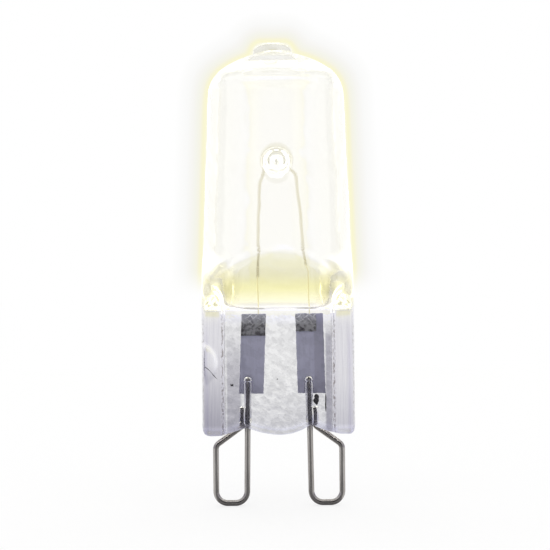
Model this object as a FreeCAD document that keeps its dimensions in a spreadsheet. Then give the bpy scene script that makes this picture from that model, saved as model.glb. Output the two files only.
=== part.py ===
# Clear halogen capsule lamp on a pinched base with two contact loops.
# Lengths are in millimetres and angles in degrees. The lamp stands base down: +Z runs up its axis to the
# sealed tip, X runs through both contact loops and Y through the thickness of the pinch.
# The origin is midway between the contact loops, level with the bottom of their wire.
import FreeCAD
import Part
import Sketcher

import math
import os
import re

SIZES = {
    # Blown tube, from the pinch up to the dome
    "tube_base_radius": 7.2,
    "tube_top_radius": 6.4,
    "taper_start": 20.0,
    "dome_rise": 2.75,
    "dome_round": 3.15,
    "crown_height": 42.7,
    "crown_radius": 8.8,
    "wall": 1.0,
    # Sealed exhaust tip and the glass bead left inside under it
    "tip_rise": 0.85,
    "tip_radius": 1.87,
    "tip_root": 0.8,
    "tip_round": 0.9,
    "tip_offset": 0.28,
    "bead_radius": 2.45,
    "bead_width": 1.5,
    "bead_land": 0.5,
    "bead_depth": 1.1,
    # Gas space
    "roof_thickness": 1.35,
    "roof_radius": 14.4,
    "roof_round": 1.2,
    "floor_corner": 3.2,
    # Pinch seal, pressed from both sides
    "rib_thickness": 3.9,
    "web_thickness": 2.8,
    "press_height": 18.65,
    "press_angle": 43.0,
    "rib_width": 2.0,
    "flare_foot": 0.75,
    "flare_rise": 2.6,
    "rib_round": 0.55,
    # Trimmed lower edge of the pinch
    "trimmed_length": 1.0,
    "corner_height": 6.73,
    "corner_round": 1.05,
    "corner_width": 0.65,
    "notch_depth": 0.82,
    "notch_margin": 0.06,
    "tongue_width": 5.4,
    "tongue_drop": 0.79,
    # Dimples pressed in from front and back, which meet in the post that carries the filament
    "post_height": 32.6,
    "post_radius": 0.87,
    "dimple_wall": 0.47,
    "dimple_floor_gap": 1.0,
    "dimple_neck_radius": 0.75,
    "dimple_neck_depth": 0.5,
    "dimple_mouth_radius": 0.9,
    # Chip out of the edge of the left rib
    "chip_height": 13.6,
    "chip_radius": 5.0,
    "chip_depth": 0.25,
    "chip_outset": 0.1,
    # Contact loops, bent from round wire
    "contact_wire": 0.56,
    "leg_spread_low": 3.04,
    "leg_spread_high": 2.86,
    "leg_overlap": 1.6,
    "loop_spread": 5.95,
    "loop_bend": 1.1,
    "knee_height": 5.7,
    "knee_bend": 0.7,
    "entry_height": 7.5,
    "entry_bend": 0.5,
    "tail_top": 9.3,
    "tail_gap": 0.1,
    "tail_turn": 32.0,
    "contact_weld": 0.03,
    # Molybdenum seal foils
    "foil_thickness": 0.04,
    "foil_length": 7.55,
    "foil_bottom": 10.6,
    "left_foil_width": 2.3,
    "left_foil_place": 2.56,
    "left_foil_tilt": 2.3,
    "right_foil_width": 2.6,
    "right_foil_place": 3.13,
    "right_foil_tilt": 1.4,
    # Mesh tabs welded over the ends of the lead wires
    "tab_thickness": 0.04,
    "left_tab_height": 2.05,
    "right_tab_width": 1.94,
    "right_tab_height": 1.67,
    "tab_overhang": 0.05,
    # Tungsten lead wires, which end inside the filament
    "lead_wire": 0.14,
    "lead_weld": 0.02,
    "lead_overlap": 1.45,
    "lead_spigot": 1.1,
    "lead_bend": 0.3,
    "left_lead_foot": 1.77,
    "right_lead_foot": 3.04,
    "right_lead_elbow": 2.84,
    "right_lead_elbow_height": 22.35,
    # Filament, drawn as the rod that its turns fill
    "coil_diameter": 0.36,
    "coil_bend": 0.5,
    "coil_gap": 0.05,
    "coil_slack": 0.03,
    "coil_start": 0.1,
    "left_coil_foot": 1.9,
    "left_coil_foot_height": 21.7,
    "left_coil_shoulder": 1.61,
    "left_coil_shoulder_drop": 2.25,
    "left_coil_neck_drop": 0.8,
    "right_coil_foot": 2.6,
    "right_coil_foot_height": 22.88,
    "right_coil_shoulder": 1.85,
    "right_coil_shoulder_drop": 1.4,
    "right_coil_neck_drop": 0.7,
}
CLEAR = 12.0  # how far a cutting shape runs past the glass
UPRIGHT = 1e-4  # how far sideways an upright edge may lead

doc = FreeCAD.newDocument("capsule_lamp")
sheet = doc.addObject("Spreadsheet::Sheet", "Sizes")
for row, (size_name, size_value) in enumerate(SIZES.items(), start=1):
    sheet.set(f"A{row}", size_name)
    sheet.set(f"B{row}", str(size_value))
    sheet.setAlias(f"B{row}", size_name)
doc.recompute()


def bound(text):
    """The expression with each size name pointing at its cell."""
    return re.sub("[a-z_]+", lambda found: "Sizes." + found[0] if found[0] in SIZES else found[0], text)


def value(text):
    """The number that an expression of size names gives."""
    return float(sheet.evalExpression(bound(text)))


def new_body(name):
    """An empty body."""
    return doc.addObject("PartDesign::Body", name)


def new_sketch(body, name, role, offset="0"):
    """A sketch on one of the body's origin planes, moved along the plane's normal by the offset."""
    sketch = body.newObject("Sketcher::SketchObject", name)
    plane = next(item for item in body.Origin.OriginFeatures if item.Role == role)
    sketch.AttachmentSupport = [(plane, "")]
    sketch.MapMode = "FlatFace"
    if offset != "0":
        sketch.setExpression("AttachmentOffset.Base.z", bound(offset))
    return sketch


def constrain(sketch, kind, places, text):
    """A dimension of the sketch, bound to the sheet."""
    index = sketch.addConstraint(Sketcher.Constraint(kind, *places, value(text)))
    sketch.setExpression(f"Constraints[{index}]", bound(text))


def fix_point(sketch, item, end, corner):
    """Holds an end of a sketch item at a corner given as two expressions."""
    for kind, axis, text in (("DistanceX", -2, corner[0]), ("DistanceY", -1, corner[1])):
        if text == "0":
            sketch.addConstraint(Sketcher.Constraint("PointOnObject", item, end, axis))
        else:
            constrain(sketch, kind, (-1, 1, item, end), text)


def flat_point(corner):
    """The corner as a vector in the sketch's plane."""
    return FreeCAD.Vector(value(corner[0]), value(corner[1]), 0)


def arc_between(start, finish, radius, side):
    """The shorter arc from start to finish. Its centre is on the left of the way for side 1, right for -1."""
    chord = finish - start
    left = FreeCAD.Vector(-chord.y, chord.x, 0).normalize()
    centre = (start + finish) / 2 + left * side * math.sqrt(radius**2 - (chord.Length / 2) ** 2)
    angles = [math.atan2(point.y - centre.y, point.x - centre.x) for point in (start, finish)]
    circle = Part.Circle(centre, FreeCAD.Vector(0, 0, 1), radius)
    return Part.ArcOfCircle(circle, *(angles if side > 0 else reversed(angles)))


def outline(sketch, corners, arcs=None):
    """A closed outline through the corners. arcs gives each arc's radius and side by its first corner."""
    arcs = arcs or {}
    items, ends = [], []
    for index, corner in enumerate(corners):
        start = flat_point(corner)
        finish = flat_point(corners[(index + 1) % len(corners)])
        if index in arcs:
            radius, side = arcs[index]
            items.append(sketch.addGeometry(arc_between(start, finish, value(radius), side)))
            constrain(sketch, "Radius", (items[-1],), radius)
            ends.append((1, 2) if side > 0 else (2, 1))
        else:
            items.append(sketch.addGeometry(Part.LineSegment(start, finish)))
            ends.append((1, 2))
    for index, corner in enumerate(corners):
        fix_point(sketch, items[index], ends[index][0], corner)
        following = (index + 1) % len(corners)
        joint = (items[index], ends[index][1], items[following], ends[following][0])
        sketch.addConstraint(Sketcher.Constraint("Coincident", *joint))


def rounded_path(sketch, corners, radii):
    """An open path whose runs pass through the corners, with a tangent arc of its radius in each bend."""
    points = [flat_point(corner) for corner in corners]
    setbacks = [0.0]
    for index, radius in enumerate(radii, start=1):
        turn = (points[index] - points[index - 1]).getAngle(points[index + 1] - points[index])
        setbacks.append(value(radius) * math.tan(turn / 2))
    setbacks.append(0.0)
    runs = []
    for index in range(len(points) - 1):
        way = (points[index + 1] - points[index]).normalize()
        start = points[index] + way * setbacks[index]
        finish = points[index + 1] - way * setbacks[index + 1]
        runs.append(sketch.addGeometry(Part.LineSegment(start, finish)))
    fix_point(sketch, runs[0], 1, corners[0])
    fix_point(sketch, runs[-1], 2, corners[-1])
    for index, radius in enumerate(radii, start=1):
        corner = sketch.addGeometry(Part.Point(points[index]), True)
        fix_point(sketch, corner, 1, corners[index])
        before, after = runs[index - 1], runs[index]
        for run in (before, after):
            sketch.addConstraint(Sketcher.Constraint("PointOnObject", corner, 1, run))
        start = sketch.Geometry[before].EndPoint
        finish = sketch.Geometry[after].StartPoint
        side = 1 if (start - points[index - 1]).cross(finish - start).z > 0 else -1
        arc = sketch.addGeometry(arc_between(start, finish, value(radius), side))
        first, last = (1, 2) if side > 0 else (2, 1)
        constrain(sketch, "Radius", (arc,), radius)
        sketch.addConstraint(Sketcher.Constraint("Tangent", before, 2, arc, first))
        sketch.addConstraint(Sketcher.Constraint("Tangent", arc, last, after, 1))


def revolve(body, sketch, axis="V_Axis"):
    """A full turn of the sketch about one of its axes."""
    feature = body.newObject("PartDesign::Revolution", sketch.Name + "_turn")
    feature.Profile = sketch
    feature.ReferenceAxis = (sketch, [axis])
    feature.Angle = 360
    doc.recompute()
    return feature


def pocket(body, sketch):
    """The sketch cut through the body, both ways from its plane."""
    before = body.Shape.Volume
    feature = body.newObject("PartDesign::Pocket", sketch.Name + "_cut")
    feature.Profile = sketch
    feature.Type = "Length"
    feature.SideType = "Symmetric"
    feature.Length = 4 * CLEAR
    doc.recompute()
    if not body.Shape.Volume < before:
        raise RuntimeError(sketch.Name + " cuts nothing")
    return feature


def pad(body, sketch, thickness):
    """The sketch raised to a thickness, half of it on each side of its plane."""
    feature = body.newObject("PartDesign::Pad", sketch.Name + "_pad")
    feature.Profile = sketch
    feature.SideType = "Symmetric"
    feature.setExpression("Length", bound(thickness))
    doc.recompute()
    return feature


def fillet(body, base, radius, wanted):
    """Rounds the edges of the base feature for which wanted(edge) holds."""
    names = [f"Edge{n}" for n, edge in enumerate(base.Shape.Edges, start=1) if wanted(edge)]
    if not names:
        raise RuntimeError(base.Name + " has no such edge")
    feature = body.newObject("PartDesign::Fillet", base.Name + "_round")
    feature.Base = (base, names)
    feature.setExpression("Radius", bound(radius))
    doc.recompute()
    return feature


def pipe(body, path, diameter):
    """Round wire along the path, from a section square to the path's start."""
    doc.recompute()
    section = body.newObject("Sketcher::SketchObject", path.Name + "_section")
    section.AttachmentSupport = [(path, "Edge1")]
    section.MapMode = "NormalToEdge"
    circle = Part.Circle(FreeCAD.Vector(0, 0, 0), FreeCAD.Vector(0, 0, 1), value(diameter) / 2)
    item = section.addGeometry(circle)
    section.addConstraint(Sketcher.Constraint("Coincident", item, 3, -1, 1))
    constrain(section, "Diameter", (item,), diameter)
    doc.recompute()
    feature = body.newObject("PartDesign::AdditivePipe", path.Name + "_pipe")
    feature.Profile = section
    feature.Spine = (path, [f"Edge{n}" for n in range(1, len(path.Shape.Edges) + 1)])
    doc.recompute()
    return feature


def cut(name, base, *tools):
    """The base less each tool in turn, as a chain of cuts whose last one has the name."""
    for number, tool in enumerate(tools, start=1):
        last = number == len(tools)
        feature = doc.addObject("Part::Cut", name if last else f"{name}_step_{number}")
        feature.Base = base
        feature.Tool = tool
        doc.recompute()
        base = feature
    return base


def both_sides(corners):
    """The corners with their first expression negated, for the outline on the other side of the plane."""
    return [("-(" + first + ")", second) for first, second in corners]


RIB_FACE = "rib_thickness / 2"
WEB_FACE = "web_thickness / 2"
WEB_EDGE = "(tube_base_radius - rib_width)"
SLOPE = "tan(press_angle)"
DOME_EDGE = "(crown_height - dome_rise)"
ROOF = "(crown_height - roof_thickness)"
FOIL_TOP = "(foil_bottom + foil_length)"
TAIL_PLACE = "(leg_spread_high + (contact_wire + tail_gap) * cos(tail_turn))"
TAIL_SETBACK = "((contact_wire + tail_gap) * sin(tail_turn))"
COIL_LOOP = "(post_radius + coil_gap + coil_diameter / 2)"
FOIL_FRONT = "contact_wire / 2 - contact_weld"
LEAD_PLANE = f"{FOIL_FRONT} - lead_wire / 2 + lead_weld"
TAB_BACK = f"{LEAD_PLANE} - lead_wire / 2 + lead_weld"


def domed_wall(sketch, bottom, side, edge, corner_round, crown_radius, crown_height):
    """The tube's half outline up to its crown: floor, side, taper, rounded corner and crown.

    The taper runs through the edge, where the unrounded corner would be, and the last three are tangent.
    The crown is left open at its end.
    """
    corners = [("0", bottom), (side, bottom), (side, "taper_start")]
    points = [flat_point(corner) for corner in corners]
    taper = (flat_point(edge) - points[2]).normalize()
    inward = FreeCAD.Vector(-taper.y, taper.x, 0)
    crown_centre = flat_point(("0", f"{crown_height} - {crown_radius}"))
    track = points[2] + inward * value(corner_round) - crown_centre
    reach = value(crown_radius) - value(corner_round)
    rise = math.sqrt(reach**2 - track.Length**2 + track.dot(taper) ** 2) - track.dot(taper)
    centre = crown_centre + track + taper * rise
    corner_start = points[2] + taper * rise
    corner_end = crown_centre + (centre - crown_centre).normalize() * value(crown_radius)
    top = flat_point(("0", crown_height))

    floor = sketch.addGeometry(Part.LineSegment(points[0], points[1]))
    side_line = sketch.addGeometry(Part.LineSegment(points[1], points[2]))
    taper_line = sketch.addGeometry(Part.LineSegment(points[2], corner_start))
    corner = sketch.addGeometry(arc_between(corner_start, corner_end, value(corner_round), 1))
    crown = sketch.addGeometry(arc_between(corner_end, top, value(crown_radius), 1))
    for item, place in zip((floor, side_line, taper_line), corners):
        fix_point(sketch, item, 1, place)
    for before, after in ((floor, side_line), (side_line, taper_line)):
        sketch.addConstraint(Sketcher.Constraint("Coincident", before, 2, after, 1))
    through = sketch.addGeometry(Part.Point(flat_point(edge)), True)
    fix_point(sketch, through, 1, edge)
    sketch.addConstraint(Sketcher.Constraint("PointOnObject", through, 1, taper_line))
    sketch.addConstraint(Sketcher.Constraint("Tangent", taper_line, 2, corner, 1))
    sketch.addConstraint(Sketcher.Constraint("Tangent", corner, 2, crown, 1))
    constrain(sketch, "Radius", (corner,), corner_round)
    constrain(sketch, "Radius", (crown,), crown_radius)
    fix_point(sketch, crown, 3, ("0", f"{crown_height} - {crown_radius}"))
    return floor, crown


def close_on_axis(sketch, floor, last, end):
    """Closes a half outline with a line down the axis, from its last item's end to its floor's start."""
    top = sketch.Geometry[last].EndPoint
    axis = sketch.addGeometry(Part.LineSegment(top, sketch.Geometry[floor].StartPoint))
    sketch.addConstraint(Sketcher.Constraint("Coincident", last, end, axis, 1))
    sketch.addConstraint(Sketcher.Constraint("PointOnObject", axis, 1, -2))
    sketch.addConstraint(Sketcher.Constraint("Coincident", axis, 2, floor, 1))


def build_blank():
    """The tube with its domed end and sealed tip, before pressing."""
    body = new_body("blank")
    profile = new_sketch(body, "outer_profile", "XZ_Plane")
    edge = ("tube_top_radius", DOME_EDGE)
    crown_sizes = ("dome_round", "crown_radius", "crown_height")
    bottom = "corner_height - trimmed_length"
    floor, crown = domed_wall(profile, bottom, "tube_base_radius", edge, *crown_sizes)
    close_on_axis(profile, floor, crown, 2)
    revolve(body, profile)
    tip_profile = new_sketch(body, "tip_profile", "XZ_Plane")
    root, top = "(crown_height - tip_root)", "(crown_height + tip_rise)"
    corners = [
        ("-tip_offset", root),
        ("tip_radius - tip_offset", root),
        ("tip_radius - tip_offset", f"{top} - tip_round"),
        ("tip_radius - tip_round - tip_offset", top),
        ("-tip_offset", top),
    ]
    outline(tip_profile, corners, {2: ("tip_round", 1)})
    tip_axis = tip_profile.addGeometry(
        Part.LineSegment(flat_point(corners[0]), flat_point(corners[-1])), True
    )
    fix_point(tip_profile, tip_axis, 1, corners[0])
    fix_point(tip_profile, tip_axis, 2, corners[-1])
    revolve(body, tip_profile, "Axis0")
    return body


def press_pinch(body):
    """Presses the ribs' faces into the blank from front and back, and trims its lower edge."""
    side_jaws = new_sketch(body, "side_jaws", "YZ_Plane")
    corners = jaw_corners(RIB_FACE)
    outline(side_jaws, corners)
    outline(side_jaws, both_sides(corners))
    ribs = pocket(body, side_jaws)
    tube_radius, press_height = value("tube_base_radius"), value("press_height")

    def is_rib_edge(edge):
        ends = [vertex.Point for vertex in edge.Vertexes]
        if len(ends) != 2:
            return False
        sideways = math.hypot(ends[0].x - ends[1].x, ends[0].y - ends[1].y)
        outside = abs(ends[0].x) > tube_radius / 2
        return sideways < UPRIGHT and outside and min(ends[0].z, ends[1].z) < press_height

    fillet(body, ribs, "rib_round", is_rib_edge)
    trim = new_sketch(body, "lower_edge", "XZ_Plane")
    notch = "(corner_height + notch_depth)"
    corner_start = "(tube_base_radius - corner_round)"
    right = [
        ("tongue_width / 2", notch),
        (f"{TAIL_PLACE} + contact_wire / 2 + notch_margin", notch),
        (f"{corner_start} - corner_width", "corner_height"),
        (corner_start, "corner_height"),
        ("tube_base_radius", "corner_height + corner_round"),
        (f"tube_base_radius + {CLEAR}", "corner_height + corner_round"),
        (f"tube_base_radius + {CLEAR}", f"corner_height - {CLEAR}"),
    ]
    corners = right + both_sides(right)[::-1]
    last = len(corners) - 1
    tongue_radius = "((tongue_width / 2)^2 + tongue_drop^2) / (2 * tongue_drop)"
    arcs = {3: ("corner_round", 1), last - 4: ("corner_round", 1), last: (tongue_radius, 1)}
    outline(trim, corners, arcs)
    pocket(body, trim)
    return body


def jaw_corners(face):
    """One jaw's outline in the YZ plane: upright along the pressed face, leaning out over the shoulder."""
    return [
        (face, f"corner_height - {CLEAR}"),
        (f"{face} + {CLEAR}", f"corner_height - {CLEAR}"),
        (f"{face} + {CLEAR}", f"press_height + {CLEAR} * {SLOPE}"),
        (face, "press_height"),
    ]


def build_press_pad():
    """The raised pads of both jaws, which press the web between the ribs and flare out over the shoulder."""
    body = new_body("press_pad")
    pads = new_sketch(body, "pad_wedges", "YZ_Plane")
    corners = jaw_corners(WEB_FACE)
    outline(pads, corners)
    outline(pads, both_sides(corners))
    pad(body, pads, f"2 * tube_base_radius + {CLEAR}")
    beside = new_sketch(body, "beside_pad", "XZ_Plane")
    flare_start = "(press_height + flare_foot)"
    corners = [
        (WEB_EDGE, f"corner_height - {2 * CLEAR}"),
        (f"tube_base_radius + {CLEAR}", f"corner_height - {2 * CLEAR}"),
        (f"tube_base_radius + {CLEAR}", f"{flare_start} + flare_rise"),
        ("tube_base_radius", f"{flare_start} + flare_rise"),
        (WEB_EDGE, flare_start),
    ]
    flare_radius = "(rib_width + flare_rise)"
    outline(beside, corners, {3: (flare_radius, 1)})
    outline(beside, both_sides(corners), {3: (flare_radius, -1)})
    pocket(body, beside)
    return body


def build_gas_space():
    """The hollow of the bulb, closed at the bottom where the pressed walls meet."""
    body = new_body("gas_space")
    profile = new_sketch(body, "inner_profile", "XZ_Plane")
    edge = ("tube_top_radius - wall", DOME_EDGE)
    roof_sizes = ("roof_round", "roof_radius", ROOF)
    bottom = "press_height - web_thickness"
    floor, roof = domed_wall(profile, bottom, "tube_base_radius - wall", edge, *roof_sizes)
    close_on_axis(profile, floor, roof, 2)
    revolve(body, profile)
    slopes = new_sketch(body, "inner_slopes", "YZ_Plane")
    floor = f"(press_height - {WEB_FACE} * {SLOPE} + wall / cos(press_angle))"
    outline(
        slopes,
        [
            ("0", floor),
            (f"-{CLEAR}", f"{floor} + {CLEAR} * {SLOPE}"),
            (f"-{CLEAR}", f"press_height - {CLEAR}"),
            (f"{CLEAR}", f"press_height - {CLEAR}"),
            (f"{CLEAR}", f"{floor} + {CLEAR} * {SLOPE}"),
        ],
    )
    pocket(body, slopes)
    corners = new_sketch(body, "floor_corners", "XZ_Plane")
    side = "(tube_base_radius - wall)"
    corner = [
        (f"{side} - floor_corner", floor),
        (side, f"{floor} + floor_corner"),
        (f"tube_base_radius + {CLEAR}", f"{floor} + floor_corner"),
        (f"tube_base_radius + {CLEAR}", f"{floor} - {CLEAR}"),
        (f"{side} - floor_corner", f"{floor} - {CLEAR}"),
    ]
    outline(corners, corner, {0: ("floor_corner", 1)})
    outline(corners, both_sides(corner), {0: ("floor_corner", -1)})
    pocket(body, corners)
    return body


def turn_about_post(body, profile):
    """Turns the profile about the line along Y through the post."""
    ends = [("0", "post_height"), ("tube_top_radius", "post_height")]
    axis = profile.addGeometry(Part.LineSegment(*[flat_point(end) for end in ends]), True)
    fix_point(profile, axis, 1, ends[0])
    fix_point(profile, axis, 2, ends[1])
    return revolve(body, profile, "Axis0")


def dimple_wall_line(growth):
    """One dimple's wall from its mouth to its neck, as corners in the YZ plane, moved out by the growth."""
    return [
        (f"{CLEAR}", f"post_height + dimple_mouth_radius + {growth}"),
        ("tube_top_radius", f"post_height + dimple_mouth_radius + {growth}"),
        ("tube_top_radius - dimple_neck_depth", f"post_height + dimple_neck_radius + {growth}"),
    ]


def build_dimples():
    """The hollows of the front and back dimples."""
    body = new_body("dimples")
    profile = new_sketch(body, "dimple_profile", "YZ_Plane")
    floor = "dimple_floor_gap / 2"
    corners = [
        (floor, "post_height"),
        (f"{CLEAR}", "post_height"),
        *dimple_wall_line("0"),
        (floor, "post_height + post_radius - dimple_wall"),
    ]
    outline(profile, corners)
    outline(profile, both_sides(corners))
    turn_about_post(body, profile)
    return body


def build_post():
    """The glass round both dimples, which meets in a waist in the middle of the bulb."""
    body = new_body("post")
    profile = new_sketch(body, "post_profile", "YZ_Plane")
    front = dimple_wall_line("dimple_wall")
    corners = [
        (f"-{CLEAR}", "post_height"),
        (f"{CLEAR}", "post_height"),
        *front,
        ("0", "post_height + post_radius"),
        *both_sides(front)[::-1],
    ]
    outline(profile, corners)
    turn_about_post(body, profile)
    return body


def build_bead():
    """The ring of glass left inside round the root of the tip."""
    body = new_body("bead")
    section = new_sketch(body, "bead_section", "XZ_Plane")
    tip = f"{ROOF} - bead_depth"
    corners = [
        ("bead_radius - bead_width / 2", ROOF),
        ("bead_radius - bead_land / 2", tip),
        ("bead_radius + bead_land / 2", tip),
        ("bead_radius + bead_width / 2", ROOF),
        ("bead_radius", f"{ROOF} + wall / 2"),
    ]
    outline(section, corners)
    revolve(body, section)
    return body


def build_chip():
    """The ball whose bite is the chip in the front of the left rib."""
    ball = doc.addObject("Part::Sphere", "chip_ball")
    ball.setExpression("Radius", bound("chip_radius"))
    ball.setExpression("Placement.Base.x", bound("-(tube_base_radius + chip_outset)"))
    ball.setExpression("Placement.Base.y", bound(f"-({RIB_FACE} + chip_radius - chip_depth)"))
    ball.setExpression("Placement.Base.z", bound("chip_height"))
    return ball


def build_contact_rod():
    """The left contact loop: a leg, the loop itself and a short tail that goes back up behind the leg."""
    body = new_body("contact_rod")
    loop = new_sketch(body, "loop_path", "XZ_Plane")
    corners = [
        ("-leg_spread_high", "foil_bottom + leg_overlap"),
        ("-leg_spread_low", "contact_wire / 2"),
        ("-loop_spread", "contact_wire / 2"),
        ("-loop_spread", "knee_height / 2"),
    ]
    rounded_path(loop, corners, ["loop_bend", "loop_bend"])
    pipe(body, loop, "contact_wire")
    tail = new_sketch(body, "tail_path", "XZ_Plane")
    # The turn starts at any angle but zero, so that the expression below finds its axis already set.
    tail.AttachmentOffset = FreeCAD.Placement(
        FreeCAD.Vector(0, 0, 0), FreeCAD.Rotation(FreeCAD.Vector(0, 1, 0), value("tail_turn"))
    )
    run = f"(loop_spread - {TAIL_PLACE})"
    tail.setExpression("AttachmentOffset.Base.x", bound("-loop_spread"))
    tail.setExpression("AttachmentOffset.Rotation.Angle", bound(f"atan({TAIL_SETBACK} / {run})"))
    reach = f"sqrt({run}^2 + {TAIL_SETBACK}^2)"
    corners = [
        ("0", "knee_height / 2"),
        ("0", "knee_height"),
        (reach, "entry_height"),
        (reach, "tail_top"),
    ]
    rounded_path(tail, corners, ["knee_bend", "entry_bend"])
    pipe(body, tail, "contact_wire")
    return body


def build_plate(name, corners, front, thickness):
    """A flat plate with the outline in the XZ plane, from its front face back along Y."""
    body = new_body(name)
    face = new_sketch(body, name + "_outline", "XZ_Plane", f"-({front} + {thickness} / 2)")
    outline(face, corners)
    pad(body, face, thickness)
    return body


def leaning_strip(place, tilt, edges, bottom, top):
    """A strip along a foil: its edges as offsets from the foil's middle line, its ends as heights."""
    at = {height: f"({place} - ({height} - foil_bottom) * tan({tilt}))" for height in (bottom, top)}
    return [
        (f"{at[bottom]} + {edges[0]}", bottom),
        (f"{at[bottom]} + {edges[1]}", bottom),
        (f"{at[top]} + {edges[1]}", top),
        (f"{at[top]} + {edges[0]}", top),
    ]


def build_foils_and_tabs():
    """Both seal foils, and the tab welded to the upper end of each."""
    tab_top = f"({FOIL_TOP} - tab_overhang)"
    left = "(left_foil_width / 2)"
    right = "(right_foil_width / 2)"
    left_strip = leaning_strip(
        "left_foil_place", "left_foil_tilt", (f"-{left}", left), "foil_bottom", FOIL_TOP
    )
    right_strip = leaning_strip(
        "right_foil_place", "right_foil_tilt", (f"-{right}", right), "foil_bottom", FOIL_TOP
    )
    left_patch = leaning_strip(
        "left_foil_place", "left_foil_tilt", (f"-{left}", left), f"({tab_top} - left_tab_height)", tab_top
    )
    right_patch = leaning_strip(
        "right_foil_place",
        "right_foil_tilt",
        (f"-{right}", f"(right_tab_width - {right})"),
        f"({tab_top} - right_tab_height)",
        tab_top,
    )
    tab_front = f"{TAB_BACK} - tab_thickness"
    return {
        "foil_left": build_plate("foil_left", both_sides(left_strip), FOIL_FRONT, "foil_thickness"),
        "foil_right": build_plate("foil_right", right_strip, FOIL_FRONT, "foil_thickness"),
        "weld_tab_left": build_plate("weld_tab_left", both_sides(left_patch), tab_front, "tab_thickness"),
        "weld_tab_right": build_plate("weld_tab_right", right_patch, tab_front, "tab_thickness"),
    }


def coil_line(side, rise):
    """The point of a side's straight coil leg that lies a rise above its foot."""
    foot, shoulder = f"{side}_coil_foot", f"{side}_coil_shoulder"
    share = f"{rise} / (post_height - {shoulder}_drop - {foot}_height)"
    return (f"({foot} + ({shoulder} - {foot}) * {share})", f"{foot}_height + {rise}")


def build_lead_rods():
    """Both lead wires before their welds flatten them. Each ends in a spigot along the coil's leg."""
    rods = []
    offset = f"-({LEAD_PLANE})"
    left_end = coil_line("left", "lead_spigot")
    left = [
        ("-left_lead_foot", f"{FOIL_TOP} - lead_overlap"),
        ("-left_coil_foot", "left_coil_foot_height"),
        (f"-{left_end[0]}", left_end[1]),
    ]
    right = [
        ("right_lead_foot", f"{FOIL_TOP} - lead_overlap"),
        ("right_lead_elbow", "right_lead_elbow_height"),
        ("right_coil_foot", "right_coil_foot_height"),
        coil_line("right", "lead_spigot"),
    ]
    for name, corners in (("lead_rod_left", left), ("lead_rod_right", right)):
        body = new_body(name)
        path = new_sketch(body, name + "_path", "XZ_Plane", offset)
        rounded_path(path, corners, ["lead_bend"] * (len(corners) - 2))
        pipe(body, path, "lead_wire")
        rods.append(body)
    return rods


def build_coil():
    """The filament's rod, up one side, over the post and down the other."""
    body = new_body("coil")
    path = new_sketch(body, "coil_path", "XZ_Plane", f"-({LEAD_PLANE})")
    left_start = coil_line("left", "coil_start")
    right_start = coil_line("right", "coil_start")
    over = f"post_height + {COIL_LOOP}"
    corners = [
        (f"-{left_start[0]}", left_start[1]),
        ("-left_coil_shoulder", "post_height - left_coil_shoulder_drop"),
        (f"-{COIL_LOOP}", "post_height - left_coil_neck_drop"),
        (f"-{COIL_LOOP}", over),
        (COIL_LOOP, over),
        (COIL_LOOP, "post_height - right_coil_neck_drop"),
        ("right_coil_shoulder", "post_height - right_coil_shoulder_drop"),
        right_start,
    ]
    # Both bends over the post are a little tighter than the loop, so that a short straight run lies between.
    over_bend = f"({COIL_LOOP} - coil_slack)"
    rounded_path(path, corners, ["coil_bend", "coil_bend", over_bend, over_bend, "coil_bend", "coil_bend"])
    pipe(body, path, "coil_diameter")
    return body


def check(name, piece):
    """Stops the build when a piece isn't one good solid."""
    shape = piece.Shape
    if shape.isNull() or not shape.isValid() or len(shape.Solids) != 1:
        raise RuntimeError(f"{name} isn't one good solid")


def main():
    """Builds every piece, checks it and writes it to the parts folder."""
    pieces = build_foils_and_tabs()
    contact_rod = build_contact_rod()
    mirrored_rod = doc.addObject("Part::Mirroring", "mirrored_contact_rod")
    mirrored_rod.Source = contact_rod
    mirrored_rod.Normal = FreeCAD.Vector(1, 0, 0)
    doc.recompute()
    pieces["contact_loop_left"] = cut("contact_loop_left", contact_rod, pieces["foil_left"])
    pieces["contact_loop_right"] = cut("contact_loop_right", mirrored_rod, pieces["foil_right"])
    left_rod, right_rod = build_lead_rods()
    pieces["filament"] = cut("filament", build_coil(), left_rod, right_rod)
    for side, rod in (("left", left_rod), ("right", right_rod)):
        name = "lead_wire_" + side
        pieces[name] = cut(name, rod, pieces["foil_" + side], pieces["weld_tab_" + side])

    gas = cut("gas", build_gas_space(), build_post(), build_bead())
    embedded = [
        pieces[kind + "_" + side]
        for side in ("left", "right")
        for kind in ("contact_loop", "foil", "weld_tab", "lead_wire")
    ]
    blank = press_pinch(build_blank())
    pieces["envelope"] = cut(
        "envelope", blank, build_press_pad(), gas, build_dimples(), build_chip(), *embedded
    )

    doc.recompute()
    for item in doc.Objects:
        if any(word in item.State for word in ("Error", "Invalid")):
            raise RuntimeError(f"{item.Name} didn't build: {item.State}")
    os.makedirs("parts", exist_ok=True)
    for name, piece in pieces.items():
        check(name, piece)
        piece.Shape.exportStep(f"parts/{name}.step")
        box = piece.Shape.optimalBoundingBox()
        print(f"{name}: {piece.Shape.Volume:.3f} mm3, {box}")


main()
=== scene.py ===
"""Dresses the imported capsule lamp: pressed quartz, lit coil, seal foils, mesh tabs and contact wires.

Sizes in the classes are millimetres in the lamp's own frame: +Z up the lamp, X through both contact loops,
Y through the thickness of the pinch. Meshes are written in metres.
"""

import logging
import math
from dataclasses import astuple, dataclass, field
from enum import Enum
from typing import Callable, Iterable, NamedTuple, Sequence, Union

import bpy
import bmesh
import numpy as np
from mathutils import Matrix, Vector


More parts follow.
